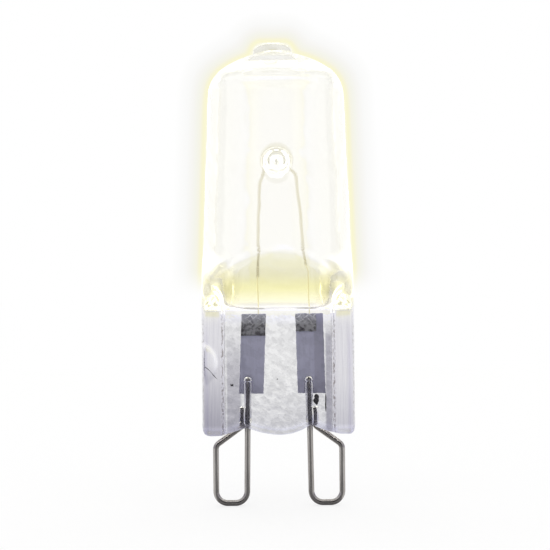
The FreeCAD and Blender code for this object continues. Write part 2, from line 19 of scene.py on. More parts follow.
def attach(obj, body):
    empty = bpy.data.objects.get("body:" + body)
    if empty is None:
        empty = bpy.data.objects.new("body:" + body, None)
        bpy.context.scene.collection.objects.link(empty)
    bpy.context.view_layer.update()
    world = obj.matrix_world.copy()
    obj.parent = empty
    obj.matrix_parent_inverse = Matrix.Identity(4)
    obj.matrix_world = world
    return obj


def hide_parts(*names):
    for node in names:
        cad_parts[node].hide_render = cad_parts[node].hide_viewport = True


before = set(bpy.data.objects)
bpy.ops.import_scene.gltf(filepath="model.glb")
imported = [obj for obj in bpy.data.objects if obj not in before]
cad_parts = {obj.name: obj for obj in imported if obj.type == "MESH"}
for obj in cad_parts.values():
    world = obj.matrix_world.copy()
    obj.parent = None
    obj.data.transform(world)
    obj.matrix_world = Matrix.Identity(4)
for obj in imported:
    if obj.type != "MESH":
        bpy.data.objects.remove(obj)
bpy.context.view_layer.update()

MM = 0.001
FLAT = 1e-7  # How far from the middle plane a point still counts as on it.
LOG = logging.getLogger("capsule_lamp")

Socket = bpy.types.NodeSocket
Value = Union[float, Sequence[float], Socket]
Colour = tuple[float, float, float]
Limits = tuple[float, ...]
Line = list[tuple[float, float]]

BLACK: Colour = (0.0, 0.0, 0.0)
WHITE: Colour = (1.0, 1.0, 1.0)


class Slot(Enum):
    """The record's material slots of the CAD nodes that scene.py draws with pieces of its own."""

    QUARTZ = "quartz_glass"
    COIL = "filament"
    CONTACT = "contact_wire"


class Side(Enum):
    """The two sides of the lamp, by the sign of X."""

    LEFT = -1
    RIGHT = 1

    @property
    def word(self) -> str:
        """The side's name in lower case."""
        return self.name.lower()


class Zone(Enum):
    """What the quartz is doing at a point, kept as one number per point of its mesh."""

    LIT = "lit"
    SLOPE = "slope"
    WEB = "web"
    STEP = "step"
    CHIP = "chip"
    GROOVE = "groove"
    TRIM = "trim"


# Numbers and meshes


def linear(red: int, green: int, blue: int) -> Colour:
    """The colour in linear light that a screen shows with these shares, 0 to 255."""
    shares = (red / 255, green / 255, blue / 255)
    return tuple((c / 12.92 if c <= 0.04045 else ((c + 0.055) / 1.055) ** 2.4) for c in shares)


def ease(low: Union[float, np.ndarray], high: float, at: np.ndarray) -> np.ndarray:
    """A smooth rise from 0 at low to 1 at high, which runs backwards where high is below low."""
    share = np.clip((np.asarray(at, float) - low) / (high - low), 0, 1)
    return share * share * (3 - 2 * share)


def soft_min(first: np.ndarray, second: np.ndarray, width: float) -> np.ndarray:
    """The smaller of two heights, with the crossing rounded where they are nearer than the width."""
    near = np.clip(1 - np.abs(first - second) / width, 0, 1)
    return np.minimum(first, second) - 0.25 * width * near * near


def arc(centre: Sequence[float], radius: float, start: float, end: float, steps: int) -> Line:
    """Points along an arc in a plane between two angles in degrees, both ends included."""
    angles = np.radians(np.linspace(start, end, steps + 1))
    return [(centre[0] + radius * math.cos(a), centre[1] + radius * math.sin(a)) for a in angles]


def spaced(line: Sequence[Sequence[float]], count: int) -> np.ndarray:
    """The same line with its points evenly spaced.

    Args:
        line: the line's points.
        count: how many points are wanted.

    Returns:
        The new points.
    """
    points = np.asarray(line, float)
    length = np.concatenate([[0], np.cumsum(np.linalg.norm(np.diff(points, axis=0), axis=1))])
    at = np.linspace(0, length[-1], count)
    return np.stack([np.interp(at, length, column) for column in points.T], axis=1)


def rounded(corners: Sequence[Sequence[float]], radii: Sequence[float], steps: int) -> np.ndarray:
    """A bent wire's centre line.

    Args:
        corners: the points where its straight runs would meet, ends included.
        radii: the bend radius at each inner corner.
        steps: how many runs each bend is divided into.

    Returns:
        The points along the line.
    """
    points = [np.asarray(corner, float) for corner in corners]
    line = [points[0]]
    for before, corner, after, radius in zip(points, points[1:], points[2:], radii):
        came = (corner - before) / np.linalg.norm(corner - before)
        goes = (after - corner) / np.linalg.norm(after - corner)
        turn = math.acos(float(np.clip(came @ goes, -1, 1)))
        inward = (goes - came) / np.linalg.norm(goes - came)
        middle = corner + inward * radius / math.cos(turn / 2)
        first = corner - came * radius * math.tan(turn / 2) - middle
        side = came * radius
        for angle in np.linspace(0, turn, steps + 1):
            line.append(middle + first * math.cos(angle) + side * math.sin(angle))
    line.append(points[-1])
    return np.array(line)


def tangents(line: np.ndarray) -> np.ndarray:
    """The way a line runs at each of its points, as vectors of length 1."""
    way = np.gradient(line, axis=0)
    return way / np.linalg.norm(way, axis=1)[:, None]


def ring_faces(rings: int, columns: int) -> np.ndarray:
    """The faces between neighbouring rings of points, closed round each ring.

    Args:
        rings: how many rings there are.
        columns: how many points each ring has.

    Returns:
        One row of four points for each face.
    """
    at = np.arange(rings * columns).reshape(rings, columns)
    low, high = at[:-1], at[1:]
    return np.stack([low, np.roll(low, -1, 1), np.roll(high, -1, 1), high], axis=-1).reshape(-1, 4)


@dataclass
class MeshDraft:
    """Points and faces gathered for one piece, in millimetres."""

    points: list[np.ndarray] = field(default_factory=list)
    faces: list[tuple[int, ...]] = field(default_factory=list)
    finishes: list[int] = field(default_factory=list)
    marks: dict[str, list[np.ndarray]] = field(default_factory=dict)
    count: int = 0

    def add(
        self, points: np.ndarray, faces: Iterable[Sequence[int]], finish: int = 0, **marks: np.ndarray
    ) -> None:
        """Adds loose points and faces.

        Args:
            points: one row per point.
            faces: the faces, by place in these points.
            finish: which of the piece's materials they take.
            marks: one number per point for each named mark.
        """
        new = [tuple(self.count + int(i) for i in face) for face in faces]
        self.faces.extend(new)
        self.finishes.extend([finish] * len(new))
        self.points.append(np.asarray(points, float))
        for name in dict.fromkeys([*self.marks, *marks]):
            gathered = self.marks.setdefault(name, [np.zeros(self.count)])
            gathered.append(np.asarray(marks.get(name, np.zeros(len(points))), float).ravel())
        self.count += len(points)

    def add_grid(self, grid: np.ndarray, inside_out: bool = False, **marks: np.ndarray) -> None:
        """Adds a grid of rings. Faces that lie flat in the middle plane are left out.

        Args:
            grid: rings by columns by three.
            inside_out: whether the faces look towards the rings' axis.
            marks: one number per point of the grid for each named mark.
        """
        quads = ring_faces(*grid.shape[:2])
        flat = np.abs(grid[..., 1].ravel()[quads]).max(axis=1) < FLAT
        quads = quads[~flat]
        self.add(grid.reshape(-1, 3), quads[:, ::-1] if inside_out else quads, **marks)

    def add_tube(
        self,
        line: np.ndarray,
        radii: Union[float, np.ndarray],
        around: int,
        inside_out: bool = False,
        finish: int = 0,
    ) -> None:
        """Adds a round bar along a line, closed at both ends.

        Args:
            line: the centre line.
            radii: the radius, or one for each point of the line.
            around: how many points each ring has.
            inside_out: whether the bar is a hole in the piece.
            finish: which of the piece's materials it takes.
        """
        radii = np.broadcast_to(np.asarray(radii, float), (len(line),))
        way = tangents(line)
        across = np.cross(way[0], [0.0, 1.0, 0.0])
        if np.linalg.norm(across) < 0.1:
            across = np.cross(way[0], [1.0, 0.0, 0.0])
        angles = np.linspace(0, 2 * math.pi, around, endpoint=False)
        cosines, sines = np.cos(angles), np.sin(angles)
        rings = []
        for point, along, radius in zip(line, way, radii):
            across = across - along * (across @ along)
            across /= np.linalg.norm(across)
            other = np.cross(along, across)
            rings.append(point + radius * (np.outer(cosines, across) + np.outer(sines, other)))
        first = np.arange(around)
        faces = [*ring_faces(len(line), around), first[::-1], first + (len(line) - 1) * around]
        if inside_out:
            faces = [face[::-1] for face in faces]
        self.add(np.concatenate(rings), faces, finish)

    def build(self, name: str, weld: float = 1e-4) -> bpy.types.Object:
        """Writes the draft as a smooth mesh.

        Args:
            name: the piece's name.
            weld: how near two points may be before they become one, in millimetres.

        Returns:
            The new object.
        """
        mesh = bpy.data.meshes.new(name)
        mesh.from_pydata((np.concatenate(self.points) * MM).tolist(), [], self.faces)
        mesh.polygons.foreach_set("material_index", self.finishes)
        for mark, gathered in self.marks.items():
            layer = mesh.attributes.new(mark, "FLOAT", "POINT")
            layer.data.foreach_set("value", np.concatenate(gathered).astype(np.float32))
        body = bmesh.new()
        body.from_mesh(mesh)
        bmesh.ops.remove_doubles(body, verts=body.verts, dist=weld * MM)
        bmesh.ops.dissolve_degenerate(body, edges=body.edges, dist=weld * MM / 10)
        for face in body.faces:
            face.smooth = True
        body.to_mesh(mesh)
        body.free()
        mesh.update()
        return link_object(name, mesh)


def link_object(name: str, data: bpy.types.ID) -> bpy.types.Object:
    """Puts a mesh or a camera into the scene.

    Args:
        name: the new object's name.
        data: the mesh or camera.

    Returns:
        The object.
    """
    made = bpy.data.objects.new(name, data)
    bpy.context.scene.collection.objects.link(made)
    return made


# Shader trees


class Graph:
    """Adds nodes to one shader tree and joins them."""

    def __init__(self, tree: bpy.types.NodeTree) -> None:
        """Starts on a tree that may hold nodes already."""
        self.tree = tree

    def node(self, kind: str, **settings: object) -> bpy.types.Node:
        """Adds a node.

        Args:
            kind: the node's type name, without its Shader Node prefix.
            settings: its settings by name.

        Returns:
            The node.
        """
        made = self.tree.nodes.new("ShaderNode" + kind)
        for name, setting in settings.items():
            setattr(made, name, setting)
        return made

    def feed(self, target: Socket, source: Value) -> None:
        """Joins a socket to its source.

        Args:
            target: an input.
            source: an output, a number or a colour.
        """
        if isinstance(source, bpy.types.NodeSocket):
            self.tree.links.new(source, target)
        elif hasattr(source, "__len__") and len(target.default_value) == 4 and len(source) == 3:
            target.default_value = (*source, 1.0)
        else:
            target.default_value = source

    def join(self, node: bpy.types.Node, **values: Value) -> bpy.types.Node:
        """Sets or joins some of a node's inputs.

        Args:
            node: the node.
            values: the inputs by name, with _ for a space.

        Returns:
            The node.
        """
        for name, source in values.items():
            self.feed(node.inputs[name.replace("_", " ")], source)
        return node

    def math(self, operation: str, *values: Value, clamp: bool = False) -> Socket:
        """One Math node.

        Args:
            operation: what it does.
            values: its inputs in order.
            clamp: whether the answer stays between 0 and 1.

        Returns:
            The answer.
        """
        made = self.node("Math", operation=operation, use_clamp=clamp)
        for target, source in zip(made.inputs, values):
            self.feed(target, source)
        return made.outputs[0]

    def times(self, first: Value, *others: Value) -> Value:
        """The product of some numbers.

        Args:
            first: one number.
            others: the others.

        Returns:
            The product.
        """
        for other in others:
            first = self.math("MULTIPLY", first, other)
        return first

    def rise(self, value: Value, low: Value, high: Value) -> Socket:
        """A smooth rise from 0 at low to 1 at high."""
        made = self.node("MapRange", interpolation_type="SMOOTHSTEP")
        return self.join(made, Value=value, From_Min=low, From_Max=high).outputs["Result"]

    def span(self, value: Value, limits: Limits) -> Socket:
        """How far a value is within soft limits.

        Args:
            value: what is measured.
            limits: where the answer is 0 and 1, or 0, 1, 1 and 0 for a band.

        Returns:
            The answer, 0 to 1.
        """
        if len(limits) == 2:
            return self.rise(value, *limits)
        start, full, fall, end = limits
        return self.times(self.rise(value, start, full), self.rise(value, end, fall))

    def length(self, first: Value, second: Value) -> Socket:
        """The length of a line by its shares along two axes."""
        return self.math("SQRT", self.math("ADD", self.times(first, first), self.times(second, second)))

    def mix(self, share: Value, first: Value, second: Value, blend: str = "MIX") -> Socket:
        """A mix of two colours.

        Args:
            share: how much of the second one.
            first: the colour at 0.
            second: the colour at 1.
            blend: the Mix node's blend.

        Returns:
            The mixed colour.
        """
        made = self.node("Mix", data_type="RGBA", blend_type=blend)
        for place, source in ((0, share), (6, first), (7, second)):
            self.feed(made.inputs[place], source)
        return made.outputs[2]

    def ramp(self, value: Value, stops: Sequence[tuple[float, Colour]]) -> Socket:
        """A colour by a number from 0 to 1.

        Args:
            value: the number.
            stops: places and their colours, in order.

        Returns:
            The colour there.
        """
        made = self.node("ValToRGB")
        band = made.color_ramp
        while len(band.elements) < len(stops):
            band.elements.new(1.0)
        for element, (place, colour) in zip(band.elements, stops):
            element.position = place
            element.color = (*colour, 1.0)
        self.feed(made.inputs[0], value)
        return made.outputs[0]

    def vector(self, operation: str, first: Value, second: Value) -> Socket:
        """One Vector Math node.

        Args:
            operation: what it does.
            first: one vector.
            second: the other.

        Returns:
            The answer.
        """
        made = self.node("VectorMath", operation=operation)
        self.feed(made.inputs[0], first)
        self.feed(made.inputs[1], second)
        return made.outputs[0]

    def noise(self, place: Value, scale: Value, detail: float, roughness: float = 0.5) -> Socket:
        """Soft noise from about 0 to 1, with some finer layers of the given roughness."""
        values = {"Vector": place, "Scale": scale, "Detail": detail, "Roughness": roughness}
        return self.join(self.node("TexNoise"), **values).outputs["Fac"]

    def turned(self, place: Value, angle: float) -> Socket:
        """A place turned round the Y axis by an angle in radians."""
        made = self.node("VectorRotate", rotation_type="AXIS_ANGLE")
        return self.join(made, Vector=place, Axis=(0.0, 1.0, 0.0), Angle=angle).outputs[0]

    def axes(self, place: Value) -> tuple[Socket, Socket, Socket]:
        """A vector's three numbers.

        Args:
            place: the vector.

        Returns:
            Its X, Y and Z.
        """
        made = self.node("SeparateXYZ")
        self.feed(made.inputs[0], place)
        return made.outputs["X"], made.outputs["Y"], made.outputs["Z"]

    def mirrored(self, ray: bpy.types.Node) -> Socket:
        """1 where the ray was mirrored last, and not let through glass."""
        return self.math(
            "SUBTRACT", ray.outputs["Is Glossy Ray"], ray.outputs["Is Transmission Ray"], clamp=True
        )

    def mark(self, zone: Zone) -> Socket:
        """The number that the mesh keeps for a zone."""
        return self.node("Attribute", attribute_name=zone.value).outputs["Fac"]

    def effect(self, effect: "Effect", **values: Value) -> bpy.types.Node:
        """Places a shared effect, with its inputs by name and _ for a space."""
        return self.join(self.node("Group", node_tree=effect.tree()), **values)


class Surface(Graph):
    """One material: its graph, its shader and the point's place on the lamp in millimetres."""

    def __init__(self, name: str) -> None:
        """Starts a material with a Principled shader.

        Args:
            name: the material's name.
        """
        self.material = bpy.data.materials.new(name)
        self.material.use_nodes = True
        super().__init__(self.material.node_tree)
        self.shader = self.tree.nodes["Principled BSDF"]
        self.place = self.vector("MULTIPLY", self.node("TexCoord").outputs["Object"], (1 / MM,) * 3)
        self.x, self.y, self.z = self.axes(self.place)
        self.aside = self.math("ABSOLUTE", self.x)

    def grained(self, stretch: Limits, contrast: float) -> bpy.types.Node:
        """Places the drawn grain, by how it is drawn out and how strong it is."""
        return self.effect(Effect.GRAIN, Place=self.place, Stretch=stretch, Contrast=contrast)

    def mottled(self, stretch: Limits, low: float, high: float) -> bpy.types.Node:
        """Places the mottle, by how it is drawn out and the noise at its patches' edges."""
        return self.effect(Effect.MOTTLE, Place=self.place, Stretch=stretch, Low=low, High=high)

    def bump(self, height: Socket, strength: float, depth: float) -> Socket:
        """The normal that a height of 0 to 1 gives, with its depth in millimetres."""
        made = self.join(self.node("Bump"), Height=height, Strength=strength, Distance=depth * MM)
        return made.outputs["Normal"]

    def finish(self, **values: Value) -> bpy.types.Material:
        """Sets or joins the shader's inputs, by name and with _ for a space, and gives the material."""
        self.join(self.shader, **values)
        return self.material


class Effect(Enum):
    """The surface effects that the finishes share, each one node group."""

    GRAIN = "drawn grain"
    MOTTLE = "mottle"
    WEAVE = "weave"

    def tree(self) -> bpy.types.NodeTree:
        """The effect's node group, built at its first use."""
        known = bpy.data.node_groups.get(self.value)
        return known or EFFECT_BUILDERS[self](self.value)


def new_group(
    name: str, inputs: dict[str, tuple[str, object]], *outputs: str
) -> tuple[Graph, dict[str, Socket], dict[str, Socket]]:
    """An empty shader node group.

    Args:
        name: the group's name.
        inputs: socket kind and default of each input, by name.
        outputs: the names of its outputs, which are all numbers.

    Returns:
        The group's graph, its inputs as sources and its outputs as targets.
    """
    tree = bpy.data.node_groups.new(name, "ShaderNodeTree")
    for label, (kind, default) in inputs.items():
        socket = tree.interface.new_socket(label, in_out="INPUT", socket_type="NodeSocket" + kind)
        if default is not None:
            socket.default_value = default
    for label in outputs:
        tree.interface.new_socket(label, in_out="OUTPUT", socket_type="NodeSocketFloat")
    entry, leave = tree.nodes.new("NodeGroupInput"), tree.nodes.new("NodeGroupOutput")
    sources = {label: entry.outputs[label] for label in inputs}
    targets = {label: leave.inputs[label] for label in outputs}
    return Graph(tree), sources, targets


def build_grain(name: str) -> bpy.types.NodeTree:
    """Streaks drawn out along one way, as a die or a rolling mill leaves them.

    Args:
        name: the group's name.

    Returns:
        The group. Its Mask is 0 to 1, and its Height fine streaks for a Bump node.
    """
    inputs = {
        "Place": ("Vector", None),
        "Stretch": ("Vector", (12.0, 12.0, 0.6)),
        "Contrast": ("Float", 0.35),
    }
    graph, source, target = new_group(name, inputs, "Mask", "Height")
    drawn = graph.vector("MULTIPLY", source["Place"], source["Stretch"])
    coarse = graph.noise(drawn, 1.0, 4.0, 0.6)
    fine = graph.noise(drawn, 4.0, 2.0, 0.6)
    both = graph.math("ADD", graph.times(coarse, 0.6), graph.times(fine, 0.4))
    centred = graph.times(graph.math("SUBTRACT", both, 0.5), graph.times(source["Contrast"], 4.0))
    graph.feed(target["Mask"], graph.math("ADD", centred, 0.5, clamp=True))
    graph.feed(target["Height"], fine)
    return graph.tree


def build_mottle(name: str) -> bpy.types.NodeTree:
    """Patches with soft edges, as a pressed or stained surface shows.

    Args:
        name: the group's name.

    Returns:
        The group. Its Mask is 0 between the patches and 1 on them, and its Height the noise under it.
    """
    inputs = {
        "Place": ("Vector", None),
        "Stretch": ("Vector", (1.0, 1.0, 1.0)),
        "Low": ("Float", 0.42),
        "High": ("Float", 0.58),
    }
    graph, source, target = new_group(name, inputs, "Mask", "Height")
    stretched = graph.vector("MULTIPLY", source["Place"], source["Stretch"])
    patches = graph.noise(stretched, 1.0, 3.0, 0.55)
    graph.feed(target["Mask"], graph.rise(patches, source["Low"], source["High"]))
    graph.feed(target["Height"], patches)
    return graph.tree


def build_weave(name: str) -> bpy.types.NodeTree:
    """Two crossing sets of fine wires, broken where they dive under.

    Args:
        name: the group's name.

    Returns:
        The group. Its Mask is 1 on a wire.
    """
    inputs = {"Place": ("Vector", None), "Spacing": ("Float", 0.24), "Width": ("Float", 0.04)}
    graph, source, target = new_group(name, inputs, "Mask")
    wander = graph.noise(source["Place"], 2.2, 2.0)
    masks = []
    for turn, offset in ((0.75, 0.0), (-0.9, 5.0)):
        turned = graph.turned(source["Place"], turn)
        across = graph.math("MULTIPLY_ADD", wander, 0.35, graph.axes(turned)[0])
        line = graph.math("LESS_THAN", graph.math("PINGPONG", across, source["Spacing"]), source["Width"])
        broken = graph.noise(graph.vector("ADD", turned, (offset,) * 3), 3.0, 1.0)
        masks.append(graph.times(line, graph.rise(broken, 0.44, 0.52)))
    graph.feed(target["Mask"], graph.math("MAXIMUM", *masks))
    return graph.tree


EFFECT_BUILDERS: dict[Effect, Callable[[str], bpy.types.NodeTree]] = {
    Effect.GRAIN: build_grain,
    Effect.MOTTLE: build_mottle,
    Effect.WEAVE: build_weave,
}


# Finishes


@dataclass(frozen=True)
class Patch:
    """A patch of the lamp with soft edges.

    Attributes:
        across: its limits along X, two for an open side and four for a band.
        up: the levels where it starts and where it is complete.
        strength: how strong it is there.
    """

    across: Limits
    up: Limits
    strength: float = 1.0

    def mask(self, surface: Surface, across: Socket) -> Socket:
        """How strong the patch is at a point, by its X or by how far it is from the middle."""
        mask = surface.times(surface.span(across, self.across), surface.span(surface.z, self.up))
        return surface.times(mask, self.strength)


class Regions(NamedTuple):
    """The quartz's regions, each as the number that is 1 in it."""

    lit: Socket
    slope: Socket
    web: Socket
    chip: Socket
    trim: Socket
    corner: Socket
    thick: Socket
    dimple: Socket
    mouth: Socket


@dataclass(frozen=True)
class QuartzFinish:
    """Clear fused quartz: painted cream light in the bulb, painted yellow light on the slopes, cold and
    mottled in the pinch.

    Each colour is a tint or, where its name says so, a painted glow; the pinch also takes painted shade. The
    limits are millimetres.
    """

    refraction: float = 1.46

    # The pinch: webs, ribs, the steps between them and the trimmed edge.
    # The web's mottle is the jaw's pressed pattern, its refracted shade painted as darker patches.
    web_clear: Colour = (0.875, 0.875, 0.88)
    web_mottled: Colour = (0.72, 0.72, 0.73)
    rib_clear: Colour = (0.82, 0.815, 0.84)
    rib_streak: Colour = (0.66, 0.65, 0.70)
    trimmed: Colour = (0.76, 0.77, 0.98)
    seam: Colour = linear(96, 84, 78)
    jaw_tilt: float = math.radians(-32)
    # Painted shade: the shade tint over the patches below, on the left strip, the right strip and the left
    # rib.
    shade: Colour = (0.54, 0.53, 0.59)
    shades: tuple[Patch, ...] = (
        Patch((-4.95, -4.75, -3.7, -3.4), (18.5, 12.0), 0.8),
        Patch((4.35, 4.55, 4.9, 5.15), (17.5, 15.5)),
        Patch((-5.2, -5.5), (16.5, 7.5), 0.7),
    )
    # Painted shade in a band along the ribs' outer edges.
    rib_edge: Colour = (0.84, 0.83, 0.90)
    rib_rim: Patch = Patch((6.45, 6.7, 6.85, 7.05), (17.5, 15.0))

    # The press slopes: painted yellow light as tints by their level, and their painted glow, bluer at the
    # foot.
    slope_foot: float = 18.2
    slope_height: float = 5.8
    slope_tints: tuple[tuple[float, Colour], ...] = (
        (0.0, (0.89, 0.89, 0.95)),
        (0.08, (0.89, 0.885, 0.90)),
        (0.22, (0.86, 0.85, 0.76)),
        (0.42, (0.79, 0.78, 0.58)),
        (0.68, (0.68, 0.67, 0.545)),
        (1.0, (0.72, 0.72, 0.66)),
    )
    flank: Colour = (0.90, 0.89, 0.86)
    flank_limits: Limits = (3.7, 4.4, 5.5, 5.8)
    slope_glow: Colour = (0.10, 0.095, 0.06)
    foot_glow: Colour = (0.08, 0.085, 0.15)
    foot_glow_levels: Limits = (19.2, 18.3)
    # groove_glow: painted light along the floor of the gas space.
    groove_glow: Colour = (0.38, 0.36, 0.25)

    # The corners at the tops of the ribs: painted light, as tints and glows.
    corner: Colour = (0.30, 0.285, 0.20)
    corner_limits: Limits = (5.2, 5.8)
    corner_foot: Colour = (0.86, 0.85, 0.82)
    corner_foot_levels: Limits = (19.6, 17.8)
    corner_glow: Colour = (0.400, 0.386, 0.262)
    corner_foot_glow: Colour = (0.03, 0.03, 0.02)
    corner_glow_levels: Limits = (20.6, 18.4)
    corner_lit_glow: Colour = (0.320, 0.316, 0.275)
    corner_lit_levels: Limits = (24.2, 22.8)

    # The bulb: tint and painted glow by how steeply the eye meets the skin, together painted cream light,
    # yellower towards the outline.
    bulb: Colour = (0.70, 0.70, 0.690)
    bulb_thick: Colour = (0.58, 0.575, 0.53)
    glows: tuple[tuple[float, Colour], ...] = (
        (0.02, (0.172, 0.171, 0.188)),
        (0.10, (0.159, 0.157, 0.151)),
        (0.46, (0.159, 0.157, 0.146)),
        (0.52, (0.086, 0.084, 0.068)),
        (0.85, (0.066, 0.062, 0.032)),
    )
    thick_glow: Colour = (0.100, 0.097, 0.080)
    crown_levels: Limits = (41.0, 41.5)
    bead_reach: Limits = (3.6, 3.1)
    bead_levels: Limits = (39.3, 39.9, 40.4, 40.8)
    bead_strength: float = 0.4

    # The dimple, by the distance from its middle: a darker tint as painted shade and glows as painted light.
    dimple: Colour = (0.45, 0.445, 0.42)
    dimple_level: float = 32.2
    dimple_limits: Limits = (1.6, 1.25)
    mouth_glow: Colour = (0.176, 0.174, 0.158)
    dimple_glow: Colour = (0.272, 0.268, 0.246)
    mouth_limits: Limits = (0.80, 0.88)

    # The chip, with a paler tint and its glow as a painted highlight, and how rough each region is.
    chipped: Colour = (0.93, 0.93, 0.96)
    chip_glow: Colour = (0.16, 0.16, 0.17)
    chip_rough: float = 0.45
    trim_rough: float = 0.4
    web_rough: float = 0.03
    ripple: Limits = (0.5, 0.5, 0.16)
    ripple_share: float = 0.25
    relief: tuple[float, float] = (0.4, 0.10)

    def _thick(self, surface: Surface) -> Socket:
        """Where the glass is thick, the crown and the bead under it, which take a warmer tint and glow as
        painted light.

        Args:
            surface: the material.

        Returns:
            How thick it looks, 0 to 1.
        """
        patches = surface.mottled((0.45, 0.45, 0.8), 0.4, 0.6)
        crown = surface.math("MULTIPLY_ADD", patches.outputs["Mask"], 0.4, 0.6)
        crown = surface.times(crown, surface.span(surface.z, self.crown_levels))
        inside = surface.span(surface.length(surface.x, surface.y), self.bead_reach)
        bead = surface.times(surface.span(surface.z, self.bead_levels), inside, self.bead_strength)
        return surface.math("MAXIMUM", crown, bead)

    def _regions(self, surface: Surface) -> Regions:
        """Finds the quartz's regions.

        Args:
            surface: the material.

        Returns:
            The regions.
        """
        zones = (Zone.LIT, Zone.SLOPE, Zone.WEB, Zone.CHIP, Zone.TRIM)
        from_dimple = surface.length(surface.x, surface.math("SUBTRACT", surface.z, self.dimple_level))
        return Regions(
            *(surface.mark(zone) for zone in zones),
            corner=surface.span(surface.aside, self.corner_limits),
            thick=self._thick(surface),
            dimple=surface.span(from_dimple, self.dimple_limits),
            mouth=surface.span(from_dimple, self.mouth_limits),
        )

    def _pinch_tint(self, surface: Surface, at: Regions, waffle: Socket) -> Socket:
        """The tint of the pinch, with painted shade in patches and along the ribs' outer edges.

        Args:
            surface: the material.
            at: the quartz's regions.
            waffle: where the jaw's pattern dulls the web, with its shade painted as darker patches.

        Returns:
            The tint.
        """
        streaks = surface.grained((3.2, 0.6, 0.10), 0.75)
        ribs = surface.mix(streaks.outputs["Mask"], self.rib_streak, self.rib_clear)
        tint = surface.mix(at.web, ribs, surface.mix(waffle, self.web_clear, self.web_mottled))
        shaded = 0.0
        for patch in self.shades:
            shaded = surface.math("MAXIMUM", shaded, patch.mask(surface, surface.x))
        tint = surface.mix(shaded, tint, self.shade, "MULTIPLY")
        tint = surface.mix(self.rib_rim.mask(surface, surface.aside), tint, self.rib_edge, "MULTIPLY")
        tint = surface.mix(at.trim, tint, self.trimmed, "MULTIPLY")
        grit = surface.mottled((9.0, 1.0, 3.2), 0.50, 0.56)
        return surface.mix(surface.times(surface.mark(Zone.STEP), grit.outputs["Mask"]), tint, self.seam)

    def _slope_tint(self, surface: Surface, at: Regions) -> Socket:
        """The tint of the press slopes: painted yellow light by level, and painted light at the rib-top
        corners.

        Args:
            surface: the material.
            at: the quartz's regions.

        Returns:
            The tint.
        """
        above = surface.math("SUBTRACT", surface.z, self.slope_foot)
        level = surface.math("DIVIDE", above, self.slope_height, clamp=True)
        flank = surface.span(surface.aside, self.flank_limits)
        tint = surface.mix(flank, surface.ramp(level, self.slope_tints), self.flank, "MULTIPLY")
        foot = surface.span(surface.z, self.corner_foot_levels)
        return surface.mix(at.corner, tint, surface.mix(foot, self.corner, self.corner_foot))

    def _glow(self, surface: Surface, at: Regions) -> Socket:
        """The painted light that the glass gives off, standing in for the filament's light in it.

        Args:
            surface: the material.
            at: the quartz's regions.

        Returns:
            The glow.
        """
        grazing = surface.node("LayerWeight").outputs["Facing"]
        bulb = surface.mix(at.thick, surface.ramp(grazing, self.glows), self.thick_glow)
        bulb = surface.mix(at.dimple, bulb, surface.mix(at.mouth, self.mouth_glow, self.dimple_glow))
        shoulder = surface.times(at.corner, surface.span(surface.z, self.corner_lit_levels))
        bulb = surface.mix(shoulder, bulb, self.corner_lit_glow)
        slopes = surface.mix(
            surface.span(surface.z, self.foot_glow_levels), self.slope_glow, self.foot_glow
        )
        corners = surface.mix(
            surface.span(surface.z, self.corner_glow_levels), self.corner_glow, self.corner_foot_glow
        )
        slopes = surface.mix(at.corner, slopes, corners)
        glow = surface.mix(at.lit, surface.mix(at.slope, BLACK, slopes), bulb)
        glow = surface.mix(surface.mark(Zone.GROOVE), glow, self.groove_glow)
        return surface.mix(at.chip, glow, self.chip_glow)

    def material(self) -> bpy.types.Material:
        """The quartz as a material.

        Returns:
            The material.
        """
        surface = Surface("quartz")
        at = self._regions(surface)
        tilted = surface.turned(surface.place, self.jaw_tilt)
        waffle = surface.effect(
            Effect.MOTTLE, Place=tilted, Stretch=(1.3, 0.3, 1.8), Low=0.45, High=0.55
        )
        pinch = self._pinch_tint(surface, at, waffle.outputs["Mask"])
        tint = surface.mix(at.slope, pinch, self._slope_tint(surface, at))
        bulb = surface.mix(at.dimple, surface.mix(at.thick, self.bulb, self.bulb_thick), self.dimple)
        tint = surface.mix(at.chip, surface.mix(at.lit, tint, bulb), self.chipped)
        rough = surface.times(at.web, self.web_rough)
        for region, roughness in ((at.chip, self.chip_rough), (at.trim, self.trim_rough)):
            rough = surface.math("MAXIMUM", rough, surface.times(region, roughness))
        ripple = surface.noise(surface.vector("MULTIPLY", surface.place, self.ripple), 1.0, 2.0)
        pressed = surface.times(at.web, waffle.outputs["Height"])
        relief = surface.math("ADD", surface.times(ripple, self.ripple_share), pressed)
        return surface.finish(
            Base_Color=tint,
            IOR=self.refraction,
            Transmission_Weight=1.0,
            Roughness=rough,
            Emission_Color=self._glow(surface, at),
            Emission_Strength=1.0,
            Normal=surface.bump(relief, *self.relief),
        )


@dataclass(frozen=True)
class SootFinish:
    """Dark residue caught in the seal."""

    dark: Colour = (0.012, 0.011, 0.014)
    pale: Colour = (0.05, 0.045, 0.05)
    roughness: float = 0.7

    def material(self) -> bpy.types.Material:
        """The residue as a material.

        Returns:
            The material.
        """
        surface = Surface("seal_residue")
        patches = surface.mottled((6.0, 6.0, 6.0), 0.3, 0.7)
        tone = surface.mix(patches.outputs["Mask"], self.dark, self.pale)
        return surface.finish(Base_Color=tone, Roughness=self.roughness)


